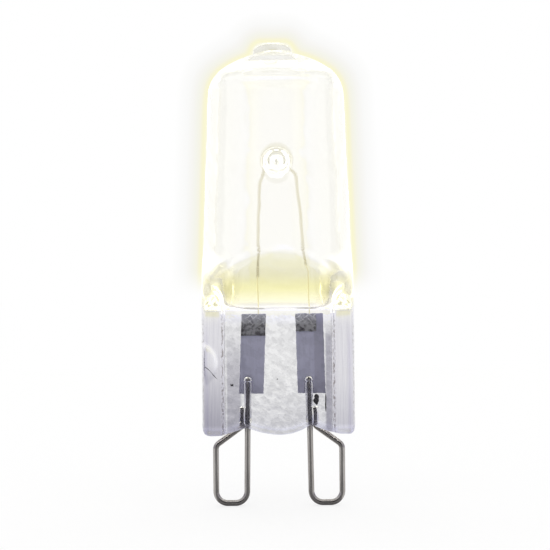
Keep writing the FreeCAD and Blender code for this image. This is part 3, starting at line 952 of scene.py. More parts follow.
@dataclass(frozen=True)
class WireFinish:
    """Drawn wire, stained in places, with another colour above given levels and, where given, a painted glow
    there.

    Attributes:
        name: the material's name.
        bright: its colour between the streaks.
        dull: its colour in the streaks and stains.
        stretch: how the streaks are drawn out.
        scorched: its colour above the change levels.
        heated: the levels over which it changes.
        shine: painted light that it gives off there.
        roughness: how rough it is, streaks included.
        worn: how much rougher the streaks are.
        stained: how strong the stains are.
        relief: how much of the streaks stands out, and how deep in millimetres.
    """

    name: str = "drawn_wire"
    bright: Colour = (0.52, 0.50, 0.48)
    dull: Colour = (0.30, 0.28, 0.27)
    stretch: Limits = (14.0, 14.0, 0.5)
    scorched: Colour = (0.10, 0.095, 0.11)
    heated: Limits = (7.3, 8.0)
    shine: Colour = BLACK
    roughness: float = 0.17
    worn: float = 0.16
    stained: float = 0.35
    relief: tuple[float, float] = (0.35, 0.01)

    def material(self) -> bpy.types.Material:
        """The wire as a material.

        Returns:
            The material.
        """
        surface = Surface(self.name)
        grain = surface.grained(self.stretch, 0.5)
        stain = surface.mottled((1.3, 1.3, 0.8), 0.45, 0.7)
        tone = surface.mix(grain.outputs["Mask"], self.dull, self.bright)
        tone = surface.mix(surface.times(stain.outputs["Mask"], self.stained), tone, self.dull)
        above_change = surface.span(surface.z, self.heated)
        # Painted light: the glow above the change levels, where one is given.
        if any(self.shine):
            surface.finish(Emission_Color=surface.mix(above_change, BLACK, self.shine), Emission_Strength=1.0)
        streaked = surface.times(grain.outputs["Mask"], self.worn)
        return surface.finish(
            Base_Color=surface.mix(above_change, tone, self.scorched),
            Metallic=1.0,
            Roughness=surface.math("ADD", streaked, self.roughness - self.worn / 2),
            Normal=surface.bump(grain.outputs["Height"], *self.relief),
        )


@dataclass(frozen=True)
class FoilFinish:
    """Rolled molybdenum foil sealed in glass, with rolling streaks, a stain and one fold whose shade is
    painted darker.
    """

    bright: Colour = (0.72, 0.725, 0.87)
    dark: Colour = (0.52, 0.52, 0.65)
    foot: Colour = (0.34, 0.33, 0.42)
    foot_levels: Limits = (12.6, 10.4)
    # The fold's shade, painted as a darker colour along a strip in X.
    folded: Colour = (0.40, 0.39, 0.49)
    fold: Limits = (3.35, 3.47)
    stained: float = 0.35
    foot_share: float = 0.45
    fold_share: float = 0.5
    roughness: float = 0.6
    relief: tuple[float, float] = (0.3, 0.01)

    def material(self) -> bpy.types.Material:
        """The foil as a material.

        Returns:
            The material.
        """
        surface = Surface("seal_foil")
        grain = surface.grained((5.0, 5.0, 0.25), 0.3)
        stain = surface.mottled((0.7, 0.7, 0.5), 0.35, 0.7)
        tone = surface.mix(grain.outputs["Mask"], self.dark, self.bright)
        for mask, strength, colour in (
            (stain.outputs["Mask"], self.stained, self.dark),
            (surface.span(surface.z, self.foot_levels), self.foot_share, self.foot),
            (surface.span(surface.x, self.fold), self.fold_share, self.folded),
        ):
            tone = surface.mix(surface.times(mask, strength), tone, colour)
        bump = surface.bump(grain.outputs["Height"], *self.relief)
        return surface.finish(Base_Color=tone, Metallic=1.0, Roughness=self.roughness, Normal=bump)


@dataclass(frozen=True)
class TabFinish:
    """Fine dark mesh with bright wires showing through, pressed flat over the lead's end."""

    dark: Colour = (0.11, 0.105, 0.115)
    lumpy: Colour = (0.38, 0.38, 0.40)
    upper: Colour = (0.72, 0.72, 0.68)
    upper_levels: Limits = (16.6, 17.9)
    wires: Colour = (0.35, 0.35, 0.36)
    upper_wires: Colour = (0.95, 0.95, 0.92)
    upper_share: float = 0.4
    spacing: float = 0.21
    wire: float = 0.022
    roughness: float = 0.55
    relief: tuple[float, float] = (0.6, 0.03)

    def material(self) -> bpy.types.Material:
        """The mesh tab as a material.

        Returns:
            The material.
        """
        surface = Surface("weld_tab")
        weave = surface.effect(Effect.WEAVE, Place=surface.place, Spacing=self.spacing, Width=self.wire)
        lumps = surface.mottled((3.0, 3.0, 3.0), 0.4, 0.6)
        upper = surface.span(surface.z, self.upper_levels)
        tone = surface.mix(lumps.outputs["Mask"], self.dark, self.lumpy)
        tone = surface.mix(surface.times(upper, self.upper_share), tone, self.upper)
        wires = surface.mix(upper, self.wires, self.upper_wires)
        return surface.finish(
            Base_Color=surface.mix(weave.outputs["Mask"], tone, wires),
            Metallic=1.0,
            Roughness=self.roughness,
            Normal=surface.bump(lumps.outputs["Height"], *self.relief),
        )


@dataclass(frozen=True)
class CoilFinish:
    """Tungsten coil at working temperature: each turn glows, and the ends in the leads stay darker."""

    glow: Colour = linear(238, 232, 178)
    cool: Colour = linear(118, 104, 66)
    hot_levels: Limits = (22.0, 25.5)
    dark: Colour = (0.20, 0.18, 0.12)
    bright: Colour = (0.34, 0.31, 0.2)
    cooler: float = 0.3
    strength: float = 0.6
    metal: float = 0.5
    roughness: float = 0.5

    def material(self) -> bpy.types.Material:
        """The lit coil as a material.

        Returns:
            The material.
        """
        surface = Surface("lit_coil")
        grain = surface.grained((3.0, 3.0, 3.0), 0.3).outputs["Mask"]
        tone = surface.mix(surface.span(surface.z, self.hot_levels), self.cool, self.glow)
        return surface.finish(
            Base_Color=surface.mix(grain, self.dark, self.bright),
            Metallic=self.metal,
            Roughness=self.roughness,
            Emission_Color=surface.mix(surface.times(grain, self.cooler), tone, self.cool),
            Emission_Strength=self.strength,
        )


# The envelope


@dataclass(frozen=True)
class Ring:
    """One ring of the envelope's outer skin.

    Attributes:
        radius: before pressing.
        height: its level above the contact loops' feet.
        shift: its centre's X.
        squeeze: how much of its thickness is left, 0 to 1.
        rise: how far it stands above the trimmed edge.
    """

    radius: float
    height: float
    shift: float = 0.0
    squeeze: float = 1.0
    rise: float = 0.0


@dataclass
class Envelope:
    """The quartz envelope: domed tube, sealed tip, two dimples, pressed pinch and the gas space inside."""

    # The tube and its dome.
    base_radius: float = 7.2
    top_radius: float = 6.4
    taper_start: float = 20.0
    dome_edge: float = 39.95
    dome_round: float = 3.15
    crown: float = 42.7
    crown_radius: float = 8.8
    crown_start: float = 38.45
    slimming: float = 0.07
    slim_from: Limits = (21.5, 24.5)
    slim_until: Limits = (38.5, 41.0)
    waver: float = 0.018

    # The gas space, its roof and the bead of glass under the tip.
    wall: float = 1.0
    roof: float = 41.35
    roof_radius: float = 14.4
    roof_round: float = 1.2
    roof_start: float = 38.6
    bead_radius: float = 2.6
    bead_depth: float = 1.15
    bead_width: float = 0.48
    bore_depth: float = 0.75
    floor_split: float = 25.0
    floor_round: float = 3.2
    gas_waver: float = 0.012

    # The sealed tip.
    tip_radius: float = 1.87
    tip_shift: float = -0.28
    tip_top: float = 43.55
    tip_round: float = 0.9
    tip_root: Line = field(default_factory=lambda: [(0.30, 0.06), (0.12, 0.13), (0.02, 0.24), (0.0, 0.36)])

    # The pinch.
    rib_face: float = 1.95
    web_face: float = 1.4
    web_edge: float = 5.2
    press_top: float = 18.65
    press_angle: float = 43.0
    press_round: float = 0.12
    skin_round: float = 0.8
    gas_round: float = 0.6
    flare: Limits = (19.4, 22.0)
    flare_past: float = 0.3
    flare_power: float = 1.4
    step_soft: float = 0.17
    flare_soft: float = 0.45
    foot: float = 6.73
    edge_free: float = 9.8

    # The dimples, which meet in a post.
    post_level: float = 32.6
    post_radius: float = 0.87
    dimple_lean: float = 0.6
    dimple_sag: float = 0.58
    dimple_droop: float = 0.42
    gas_core: float = 0.5

    # The chip in the left rib: centre in X and Z, and the ball that bites it out.
    chip_centre: tuple[float, float] = (-7.3, 13.55)
    chip_ball: float = 5.0
    chip_stand: float = 4.72
    chip_stretch: float = 0.86
    chip_rim: float = 1.53

    # Where the finish changes: levels on the outer skin, then on the gas side, and the step's half width.
    lit_from: Limits = (21.3, 22.6)
    pressed_slope_from: Limits = (16.8, 19.1)
    round_slope_from: Limits = (18.4, 19.8)
    pinch_until: Limits = (19.2, 18.2)
    gas_lit_from: Limits = (20.8, 23.0)
    gas_slope_from: Limits = (18.2, 18.9)
    gas_slope_until: Limits = (23.0, 21.5)
    groove_until: Limits = (24.0, 22.5)
    step_half: float = 0.12

    # How fine the mesh is: columns and how much closer they stand in places, and runs of levels as
    # first, past the last and step.
    columns: int = 232
    more_at_step: float = 2.2
    more_at_rib: float = 1.2
    more_at_dimple: float = 0.4
    skin_levels: tuple[Limits, ...] = (
        (7.5, 12.0, 0.3), (12.0, 15.4, 0.12), (15.4, 18.0, 0.2), (18.0, 24.4, 0.155), (24.4, 30.3, 0.4),
        (30.3, 34.2, 0.11), (34.2, 38.5, 0.4),
    )
    gas_levels: tuple[Limits, ...] = ((25.15, 30.2, 0.4), (30.2, 34.4, 0.12), (34.4, 38.6, 0.4))
    crown_rings: int = 40
    tip_rings: int = 24
    roof_rings: int = 72
    dimple_rings: int = 60
    corner_steps: int = 16
    crown_steps: int = 24

    # The rounding of the pinch's lower end: how much thickness is left, and the rise above the edge.
    lower_end: tuple[tuple[float, float], ...] = (
        (0.0, 0.0), (0.35, 0.0), (0.6, 0.0), (0.72, 0.01), (0.8, 0.03), (0.87, 0.08), (0.93, 0.16),
        (0.975, 0.28), (1.0, 0.45),
    )

    # Lower edge of the pinch as the trimming left it: place along X and level.
    edge_line: tuple[tuple[float, float], ...] = (
        (-7.20, 7.65), (-7.10, 7.20), (-6.96, 6.96), (-6.70, 6.80), (-6.40, 6.73), (-5.36, 6.76),
        (-4.61, 6.98), (-3.66, 7.26), (-3.00, 7.46), (-2.44, 7.26), (-1.59, 6.98), (-0.36, 6.78),
        (0.30, 6.764), (1.24, 6.887), (2.19, 7.217), (2.85, 7.62), (3.13, 7.66), (3.70, 7.41),
        (4.64, 7.075), (5.77, 6.877), (6.71, 6.858), (6.95, 7.00), (7.09, 7.22), (7.17, 7.60), (7.20, 8.00),
    )

    # A dimple's wall, as distance from its axis and depth below its mouth, then from the middle plane.
    gas_mouth: tuple[tuple[float, float], ...] = (
        (1.16, 0.0), (1.09, 0.02), (1.04, 0.06), (1.01, 0.15), (1.00, 0.4), (0.99, 0.9), (0.98, 2.0),
    )
    gas_end: tuple[tuple[float, float], ...] = ((0.95, 2.0), (0.92, 0.9), (0.89, 0.35), (0.87, 0.0))
    air_mouth: tuple[tuple[float, float], ...] = (
        (0.78, 0.0), (0.71, 0.02), (0.66, 0.06), (0.63, 0.16), (0.61, 0.4), (0.59, 0.8), (0.57, 1.7),
    )
    air_end: tuple[tuple[float, float], ...] = (
        (0.53, 2.4), (0.46, 1.0), (0.42, 0.68), (0.34, 0.54), (0.0, 0.5),
    )

    def _dome(self, side: float, edge: float, low_round: float, radius: float, top: float) -> Line:
        """The half outline of a domed end, from the taper's start to the axis.

        Args:
            side: the radius at the taper's start.
            edge: the radius at the dome's edge level.
            low_round: the corner's radius.
            radius: the crown's radius.
            top: the crown's height.

        Returns:
            Points of radius and height.
        """
        start = np.array([side, self.taper_start])
        taper = np.array([edge, self.dome_edge]) - start
        taper /= np.linalg.norm(taper)
        inward = np.array([-taper[1], taper[0]])
        centre = np.array([0.0, top - radius])
        track = start + inward * low_round - centre
        reach = radius - low_round
        along = track @ taper
        rise = math.sqrt(reach**2 - track @ track + along**2) - along
        corner = centre + track + taper * rise
        first = math.degrees(math.atan2(-inward[1], -inward[0]))
        out = (corner - centre) / np.linalg.norm(corner - centre)
        last = math.degrees(math.atan2(out[1], out[0]))
        line = [tuple(start), tuple(start + taper * rise)]
        line += arc(corner, low_round, first, last, self.corner_steps)[1:]
        line += arc(centre, radius, last, 90, self.crown_steps)[1:]
        return line

    def _columns(self) -> np.ndarray:
        """The columns' angles, closer together at the dimples, the ribs' steps and the rib edges.

        Returns:
            The angles, once round.
        """
        angles = np.linspace(0, math.pi, 4001)
        across = np.abs(np.cos(angles)) * self.base_radius
        density = 1 + self.more_at_step * np.exp(-(((across - self.web_edge) / 0.35) ** 2))
        density += self.more_at_rib * ease(6.3, 7.1, across) + self.more_at_dimple * ease(1.6, 1.1, across)
        total = np.concatenate([[0], np.cumsum((density[1:] + density[:-1]) / 2)])
        half = np.interp(np.linspace(0, total[-1], self.columns // 2 + 1), total, angles)
        return np.concatenate([half, 2 * math.pi - half[-2:0:-1]])

    def _jaw(self, x: np.ndarray, z: np.ndarray) -> np.ndarray:
        """How far from the middle plane the press holds the glass.

        Args:
            x: places along X.
            z: levels.

        Returns:
            The pressed half thickness.
        """
        widening = ease(*self.flare, z)
        flared = self.base_radius + self.flare_past - self.web_edge
        edge = self.web_edge + flared * widening**self.flare_power
        soft = self.step_soft + self.flare_soft * widening
        rib = ease(-soft, soft, np.abs(x) - edge)
        face = self.web_face + (self.rib_face - self.web_face) * rib
        above = (z - self.press_top) / math.tan(math.radians(self.press_angle))
        return face + 0.5 * (above + np.sqrt(above**2 + self.press_round))

    def _slim(self, radius: np.ndarray, height: np.ndarray) -> np.ndarray:
        """The radius as the softened tube really has it, a little less above the press."""
        slim = ease(*self.slim_from, height) * (1 - ease(*self.slim_until, height))
        return radius - self.slimming * slim

    def _outer_rings(self) -> list[Ring]:
        """The outer skin's rings, from the middle of the lower edge up to the tip.

        Returns:
            The rings in order.
        """
        rings = [Ring(self.base_radius, self.foot, squeeze=left, rise=rise) for left, rise in self.lower_end]
        dome = self._dome(self.base_radius, self.top_radius, self.dome_round, self.crown_radius, self.crown)
        taper = np.array(dome[:2])
        for level in np.concatenate([np.arange(*run) for run in self.skin_levels]):
            radius = self.base_radius
            if level > self.taper_start:
                radius = float(np.interp(level, taper[:, 1], taper[:, 0]))
            rings.append(Ring(radius, float(level)))
        crown = [(rings[-1].radius, rings[-1].height)]
        for radius, height in dome[1:]:
            if height > self.crown_start and radius > self.tip_radius + 0.55:
                crown.append((radius, height))
        rings += [Ring(float(r), float(z)) for r, z in spaced(crown, self.crown_rings)[1:]]
        last = rings[-1]
        tip = [(last.radius, last.height)]
        tip += [(self.tip_radius + out, last.height + up) for out, up in self.tip_root]
        round_centre = (self.tip_radius - self.tip_round, self.tip_top - self.tip_round - 0.03)
        tip += arc(round_centre, self.tip_round, 0, 84, 8)
        tip.append((0.0, self.tip_top))
        for radius, height in spaced(tip, self.tip_rings)[1:]:
            share = float(ease(last.height, last.height + 0.35, height))
            rings.append(Ring(float(radius), float(height), shift=self.tip_shift * share))
        return rings

    def _edge_lift(self, x: np.ndarray, z: np.ndarray) -> np.ndarray:
        """How far the wavy lower edge lifts the skin above a level one."""
        places, levels = np.array(self.edge_line).T
        return (np.interp(x, places, levels) - self.foot) * (1 - ease(self.foot + 0.6, self.edge_free, z))

    def _dimple_line(self, inner: bool) -> np.ndarray:
        """A dimple's wall from its mouth to its end, as distance from its axis and from the middle plane.

        Args:
            inner: whether it is the wall that the gas touches.

        Returns:
            Evenly spaced points.
        """
        skin = self.base_radius - self.dimple_sag
        mouth, end = self.air_mouth, self.air_end
        if inner:
            skin -= self.wall
            mouth, end = self.gas_mouth, self.gas_end
        return spaced([*((away, skin - depth) for away, depth in mouth), *end], self.dimple_rings)

    def _press_dimples(self, grid: np.ndarray, inner: bool) -> np.ndarray:
        """Draws the skin into the front and back dimples.

        Args:
            grid: the skin's rings by columns by three.
            inner: whether it is the gas side.

        Returns:
            The dimpled skin.
        """
        line = self._dimple_line(inner)
        reach, skin = line[0]
        lean = self.dimple_lean * (grid[..., 1] < 0)
        x, y, z = grid[..., 0], grid[..., 1], grid[..., 2] - self.post_level + lean
        away = np.hypot(x, z)
        near = np.maximum(away, 1e-6)
        core = self.gas_core if inner else 0.0
        inside = (away < reach) & (np.abs(y) > 2.0) & (np.abs(z) < reach)
        share = np.clip((reach - away) / (reach - core), 0, 1)
        at = share * (len(line) - 1)
        radius = np.interp(at, np.arange(len(line)), line[:, 0])
        depth = np.interp(at, np.arange(len(line)), line[:, 1])
        if inner:
            radius = np.where(away < core, self.post_radius * np.minimum(1, away / core) ** 0.1, radius)
            depth = np.where(away < core, 0.0, depth)
        droop = self.dimple_droop * ease(0.0, -0.9, z / near) * ease(0.05, 0.35, share)
        lower = 1 + droop * ease(0.0, 0.9, radius)
        squared = ((x / near) ** 4 + (z / near) ** 4) ** -0.25
        radius = radius * (1 + (squared - 1) * ease(0.05, 0.3, share))
        new_x, new_z = x / near * radius, z / near * radius * lower
        curve = np.sqrt(np.maximum((skin + 1e-9) ** 2 - new_x**2, 0.0)) - skin
        real = np.abs(y) - (np.sqrt(np.maximum(skin**2 - x**2, 0.0)))
        fade = 1 - ease(0.0, 0.45, share)
        new_y = np.maximum(depth + (curve + real) * fade, 0.0)
        made = grid.copy()
        made[..., 0] = np.where(inside, new_x, x)
        made[..., 1] = np.where(inside, np.sign(y) * new_y, y)
        leaned = np.where(inside, new_z + lean * np.clip(1 - new_y / (skin - self.wall), 0, 1), z)
        made[..., 2] = leaned + self.post_level - lean
        return made

    def _chip_away(self, grid: np.ndarray) -> tuple[np.ndarray, np.ndarray]:
        """Takes the shell-shaped chip out of the left rib's front edge.

        Args:
            grid: the outer skin.

        Returns:
            The chipped skin, and how near each point is to the chip's crisp rim.
        """
        x, y, z = grid[..., 0], grid[..., 1], grid[..., 2]
        away2 = (x - self.chip_centre[0]) ** 2 + ((z - self.chip_centre[1]) * self.chip_stretch) ** 2
        ball = np.sqrt(np.maximum(self.chip_ball**2 - away2, 0.0))
        bitten = ball - (self.rib_face + self.chip_stand)
        inside = (away2 < self.chip_ball**2) & (y < 0) & (bitten > y)
        bite = np.where(inside, bitten - y, 0.0)
        made = grid.copy()
        made[..., 1] = np.where(inside, np.minimum(bitten, -0.05), y)
        rim = np.exp(-(((np.sqrt(away2) - self.chip_rim) / 0.16) ** 2))
        rim = rim * (np.abs(y + self.rib_face) < 0.8) * (y < 0)
        return made, np.clip(rim * ease(12.4, 13.8, z) + 0.12 * ease(0.0, 0.1, bite), 0, 1)

    @staticmethod
    def _wavered(grid: np.ndarray, depth: float) -> np.ndarray:
        """Lets the skin waver as hand-worked glass does.

        Args:
            grid: the skin.
            depth: how far it wavers.

        Returns:
            The wavering skin.
        """
        x, y, z = grid[..., 0], grid[..., 1], grid[..., 2]
        swell = np.sin(1.1 * z + 0.9 * x) * np.sin(0.7 * y + 0.35 * z) + 0.5 * np.sin(2.3 * z - 1.7 * y)
        out = np.hypot(x, y)
        keep = ease(0.4, 2.0, out) * depth * swell * (1 - ease(17.0, 14.0, z) * 0.8)
        made = grid.copy()
        made[..., 0] -= x / np.maximum(out, 1e-6) * np.abs(keep)
        made[..., 1] -= y / np.maximum(out, 1e-6) * np.abs(keep)
        return made

    def _outer_skin(self, draft: MeshDraft) -> None:
        """Adds the outer skin.

        Args:
            draft: the envelope's mesh.
        """
        angles = self._columns()
        rings = np.array([astuple(ring) for ring in self._outer_rings()])
        radius, height, shift, squeeze, rise = rings.T[..., None]
        radius = self._slim(radius, height)
        x = shift + radius * np.cos(angles)
        z = height + rise + self._edge_lift(x, height)
        round_half = radius * np.abs(np.sin(angles))
        jaw = self._jaw(x, z)
        half = soft_min(round_half, jaw, self.skin_round)
        y = np.sign(np.sin(angles)) * np.maximum(half, 0.0) * squeeze
        y[:, np.abs(np.sin(angles)) < 1e-9] = 0.0
        grid = self._wavered(np.stack([x, y, z], axis=-1), self.waver)
        grid = self._press_dimples(grid, inner=False)
        grid, chip = self._chip_away(grid)
        pressed = ease(-0.1, 0.25, round_half - jaw)
        low = pressed * ease(*self.pinch_until, z)
        from_edge = np.abs(x) - self.web_edge
        lit = (1 - pressed) * ease(*self.lit_from, z)
        slope = pressed * ease(*self.pressed_slope_from, z)
        slope = slope + (1 - pressed) * ease(*self.round_slope_from, z)
        draft.add_grid(
            grid,
            lit=lit,
            slope=(1 - lit) * slope,
            web=low * ease(0.0, -0.3, from_edge),
            step=low * np.exp(-((from_edge / self.step_half) ** 2)),
            chip=chip,
            trim=np.broadcast_to(ease(self.foot + 0.7, self.foot + 0.2, height + rise), x.shape),
        )

    def _floor_line(self, x: np.ndarray) -> np.ndarray:
        """The level of the gas space's bottom line at each place along X.

        Args:
            x: the places.

        Returns:
            The levels.
        """
        tilt = math.radians(self.press_angle)
        low = self.press_top - self.web_face * math.tan(tilt) + self.wall / math.cos(tilt)
        bend = self.floor_round
        past = np.clip(np.abs(x) - (self.base_radius - self.wall - bend), 0, bend)
        wave = 0.06 * np.sin(1.3 * x + 0.6)
        return low + bend - np.sqrt(bend**2 - past**2) + wave

    def _gas_body(self, angles: np.ndarray, side: float, taper: float) -> np.ndarray:
        """The gas space's wall, from its floor line up to the roof's edge.

        Args:
            angles: the columns' angles.
            side: its radius at the taper's start.
            taper: how much narrower it gets for each millimetre of height.

        Returns:
            Rings by columns by three.
        """
        shares = np.concatenate([np.linspace(0, 0.14, 9) ** 1.6 * 3.0, np.linspace(0.16, 1, 40)])
        shares = np.unique(np.clip(shares, 0, 1))
        upper = np.concatenate([np.arange(*run) for run in self.gas_levels])
        floor = self._floor_line(side * np.cos(angles))
        lower = floor + (self.floor_split - floor) * shares[:, None]
        z = np.concatenate([lower, upper[:, None] + 0 * floor])
        past = z - self.taper_start
        radius = self._slim(side - taper * 0.5 * (past + np.sqrt(past**2 + 1.0)), z)
        above = np.maximum(z - floor, 0.0)
        groove = np.sqrt(above * (above + 0.5)) / math.tan(math.radians(self.press_angle))
        half = soft_min(radius * np.abs(np.sin(angles)), groove, self.gas_round)
        half = np.maximum(half, 0.0)
        half[0] = 0.0
        y = np.sign(np.sin(angles)) * half
        y[:, np.abs(np.sin(angles)) < 1e-9] = 0.0
        return np.stack([radius * np.cos(angles), y, z], axis=-1)

    def _gas_roof(self, angles: np.ndarray, side: float, edge: float, taper: float) -> np.ndarray:
        """The gas space's roof, with the bead and the closed bore of the exhaust tip.

        Args:
            angles: the columns' angles.
            side: the wall's radius at the taper's start.
            edge: its radius at the dome's edge level.
            taper: how much narrower it gets for each millimetre of height.

        Returns:
            Rings by columns by three.
        """
        dome = self._dome(side, edge, self.roof_round, self.roof_radius, self.roof)
        line = [(side - taper * (self.roof_start - self.taper_start), self.roof_start)]
        line += [point for point in dome[2:] if point[1] > self.roof_start + 0.3]
        radii, levels = spaced(line, self.roof_rings).T
        near = self._slim(radii, levels)
        bead = self.bead_depth * np.exp(-(((near - self.bead_radius) / self.bead_width) ** 2))
        bore = self.bore_depth * (1 - ease(0.25, 1.1, near))
        z = (levels - bead + bore)[:, None] + 0 * angles
        x = near[:, None] * np.cos(angles) + (self.tip_shift * (1 - ease(2.6, 4.2, near)))[:, None]
        return np.stack([x, near[:, None] * np.sin(angles), z], axis=-1)

    def _gas_side(self, draft: MeshDraft) -> None:
        """Adds the wall of the gas space, which looks inward.

        Args:
            draft: the envelope's mesh.
        """
        angles = self._columns()
        side, edge = self.base_radius - self.wall, self.top_radius - self.wall
        taper = (side - edge) / (self.dome_edge - self.taper_start)
        body = self._gas_body(angles, side, taper)
        grid = np.concatenate([body, self._gas_roof(angles, side, edge, taper)[1:]])
        grid = self._press_dimples(self._wavered(grid, self.gas_waver), inner=True)
        x, z = grid[..., 0], grid[..., 2]
        reach = 0.5 + 0.7 * ease(3.4, 5.2, np.abs(x))
        draft.add_grid(
            grid,
            inside_out=True,
            lit=ease(*self.gas_lit_from, z),
            slope=ease(*self.gas_slope_until, z) * ease(*self.gas_slope_from, z),
            groove=ease(reach, 0.05, z - self._floor_line(x)) * ease(*self.groove_until, z),
        )

    def build(self) -> bpy.types.Object:
        """Builds the envelope and dresses it.

        Returns:
            The piece.
        """
        draft = MeshDraft()
        self._outer_skin(draft)
        self._gas_side(draft)
        for side in Side:
            WireGaps(side).add(draft)
        Residue().add(draft)
        piece = draft.build("envelope_glass")
        piece.data.materials.append(QuartzFinish().material())
        piece.data.materials.append(SootFinish().material())
        return place_piece(piece, Slot.QUARTZ, "envelope")


@dataclass
class WireGaps:
    """The thin gaps that a cooling contact wire left round its leg and its tail in the pinch."""

    side: Side
    leg_mouth: float = 7.72
    leg_top: float = 12.28
    mouth_radius: float = 0.3
    leg_radius: float = 0.37
    leg_waver: float = 0.025
    leg_points: int = 24
    leg_crown: float = 0.41
    crown_steps: Limits = (0.0, 0.06, 0.14, 0.24, 0.36, 0.5)
    crown_reach: float = 0.505
    tail_place: tuple[float, float] = (3.44, 0.35)
    tail_levels: Limits = (7.86, 7.9, 8.3, 8.8, 9.28, 9.36)
    tail_radii: Limits = (0.29, 0.31, 0.32, 0.32, 0.31, 0.2)

    def add(self, draft: MeshDraft) -> None:
        """Adds both gaps as holes in the glass.

        Args:
            draft: the envelope's mesh.
        """
        side = self.side.value
        steps = np.array(self.crown_steps)
        crown_foot = self.leg_top - steps[-1]
        run = np.linspace(self.leg_mouth + 0.02, crown_foot, self.leg_points)
        heights = np.concatenate([[self.leg_mouth], run, crown_foot + steps])
        crown = self.leg_crown * np.sqrt(np.clip(1 - (steps / self.crown_reach) ** 2.4, 0.01, 1))
        wavering = self.leg_radius + self.leg_waver * np.sin(np.linspace(0, 9 + side, self.leg_points))
        radii = np.concatenate([[self.mouth_radius], wavering, crown])
        leg, foot = ContactLoop(self.side), ContactLoop.wire / 2
        place = leg.leg_low - (leg.leg_low - leg.leg_high) * (heights - foot) / (leg.leg_top - foot)
        draft.add_tube(np.stack([side * place, 0 * heights, heights], axis=1), radii, 24, inside_out=True)
        x, y = self.tail_place
        line = np.array([(side * x, y, level) for level in self.tail_levels])
        draft.add_tube(line, np.array(self.tail_radii), 20, inside_out=True)


@dataclass
class Residue:
    """The dark specks beside the seals and the fine crack under the chip, as the photograph shows them."""

    # Each speck's place, and half its width and height.
    specks: tuple[Limits, ...] = (
        (3.55, -0.35, 10.05, 0.25, 0.52), (-4.35, -0.5, 11.45, 0.15, 0.06), (4.42, -0.6, 9.75, 0.06, 0.9),
        (-6.85, -0.9, 17.2, 0.05, 0.07), (1.9, -0.7, 17.1, 0.05, 0.05), (-0.1, -0.8, 12.0, 0.05, 0.05),
    )
    crack: tuple[Limits, ...] = (
        (-6.83, -1.6, 13.25), (-6.4, -1.62, 12.9), (-6.0, -1.6, 12.42), (-5.7, -1.58, 12.1),
    )
    crack_radius: float = 0.025

    def add(self, draft: MeshDraft) -> None:
        """Adds the specks and the crack, in the envelope's second finish.

        Args:
            draft: the envelope's mesh.
        """
        steps = np.linspace(-1, 1, 11)
        for x, y, z, wide, tall in self.specks:
            line = np.stack([x + 0.12 * wide * np.sin(5 * steps), y + 0 * steps, z + tall * steps], axis=1)
            thick = wide * np.sqrt(np.clip(1 - steps**2, 0.02, 1)) * (1 + 0.18 * np.sin(7 * steps + x))
            draft.add_tube(line, thick, 12, finish=1)
        thick = self.crack_radius + 0.01 * np.sin(np.arange(12))
        draft.add_tube(spaced(self.crack, len(thick)), thick, 8, finish=1)


# Wires and seals


def place_piece(piece: bpy.types.Object, slot: Slot, *nodes: str) -> bpy.types.Object:
    """Makes a piece ride on the lamp, in the place of its CAD nodes.

    Args:
        piece: the piece.
        slot: the material slot that the piece stands for; not used.
        nodes: the CAD nodes that it stands for.

    Returns:
        The piece.
    """
    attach(piece, "root")
    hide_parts(*nodes)
    return piece


@dataclass
class Coil:
    """The filament: one fine wire wound in a close coil, up one side, over the post and down the other.

    Attributes:
        plane: its axis' distance behind the middle plane.
        outside: the coil's outer diameter.
        wire: the wire's diameter.
        pitch: from one turn to the next.
        around: points round the wire.
        steps: points along each turn.
        route: where the straight runs of its axis meet, as X and Z.
        bends: the bend radius at each of those corners.
        bend_steps: runs along each bend.
        waver: how much the winding's radius wavers.
        waver_turns: how slowly it does.
    """

    plane: float = 0.20
    outside: float = 0.37
    wire: float = 0.082
    pitch: float = 0.178
    around: int = 7
    steps: int = 18
    route: tuple[tuple[float, float], ...] = (
        (-1.90, 21.80), (-1.61, 30.35), (-1.10, 31.80), (-1.10, 33.70), (1.10, 33.70), (1.10, 31.90),
        (1.85, 31.20), (2.60, 22.98),
    )
    bends: Limits = (0.7, 0.6, 1.07, 1.07, 0.5, 0.45)
    bend_steps: int = 18
    waver: float = 0.04
    waver_turns: float = 11.3

    def build(self) -> bpy.types.Object:
        """Winds the coil and dresses it.

        Returns:
            The piece.
        """
        line = rounded([(x, self.plane, z) for x, z in self.route], self.bends, self.bend_steps)
        turns = float(np.linalg.norm(np.diff(line, axis=0), axis=1).sum()) / self.pitch
        line = spaced(line, int(turns * self.steps))
        back = np.array([0.0, 1.0, 0.0])
        side = np.cross(tangents(line), back)
        angle = np.linspace(0, 2 * math.pi * turns, len(line))
        wavering = 1 + self.waver * np.sin(angle / self.waver_turns)
        radius = (self.outside - self.wire) / 2 * wavering
        wound = line + radius[:, None] * (np.cos(angle)[:, None] * side + np.sin(angle)[:, None] * back)
        draft = MeshDraft()
        draft.add_tube(wound, self.wire / 2, self.around)
        piece = draft.build("filament_coil", weld=1e-5)
        piece.data.materials.append(CoilFinish().material())
        return place_piece(piece, Slot.COIL, "filament")


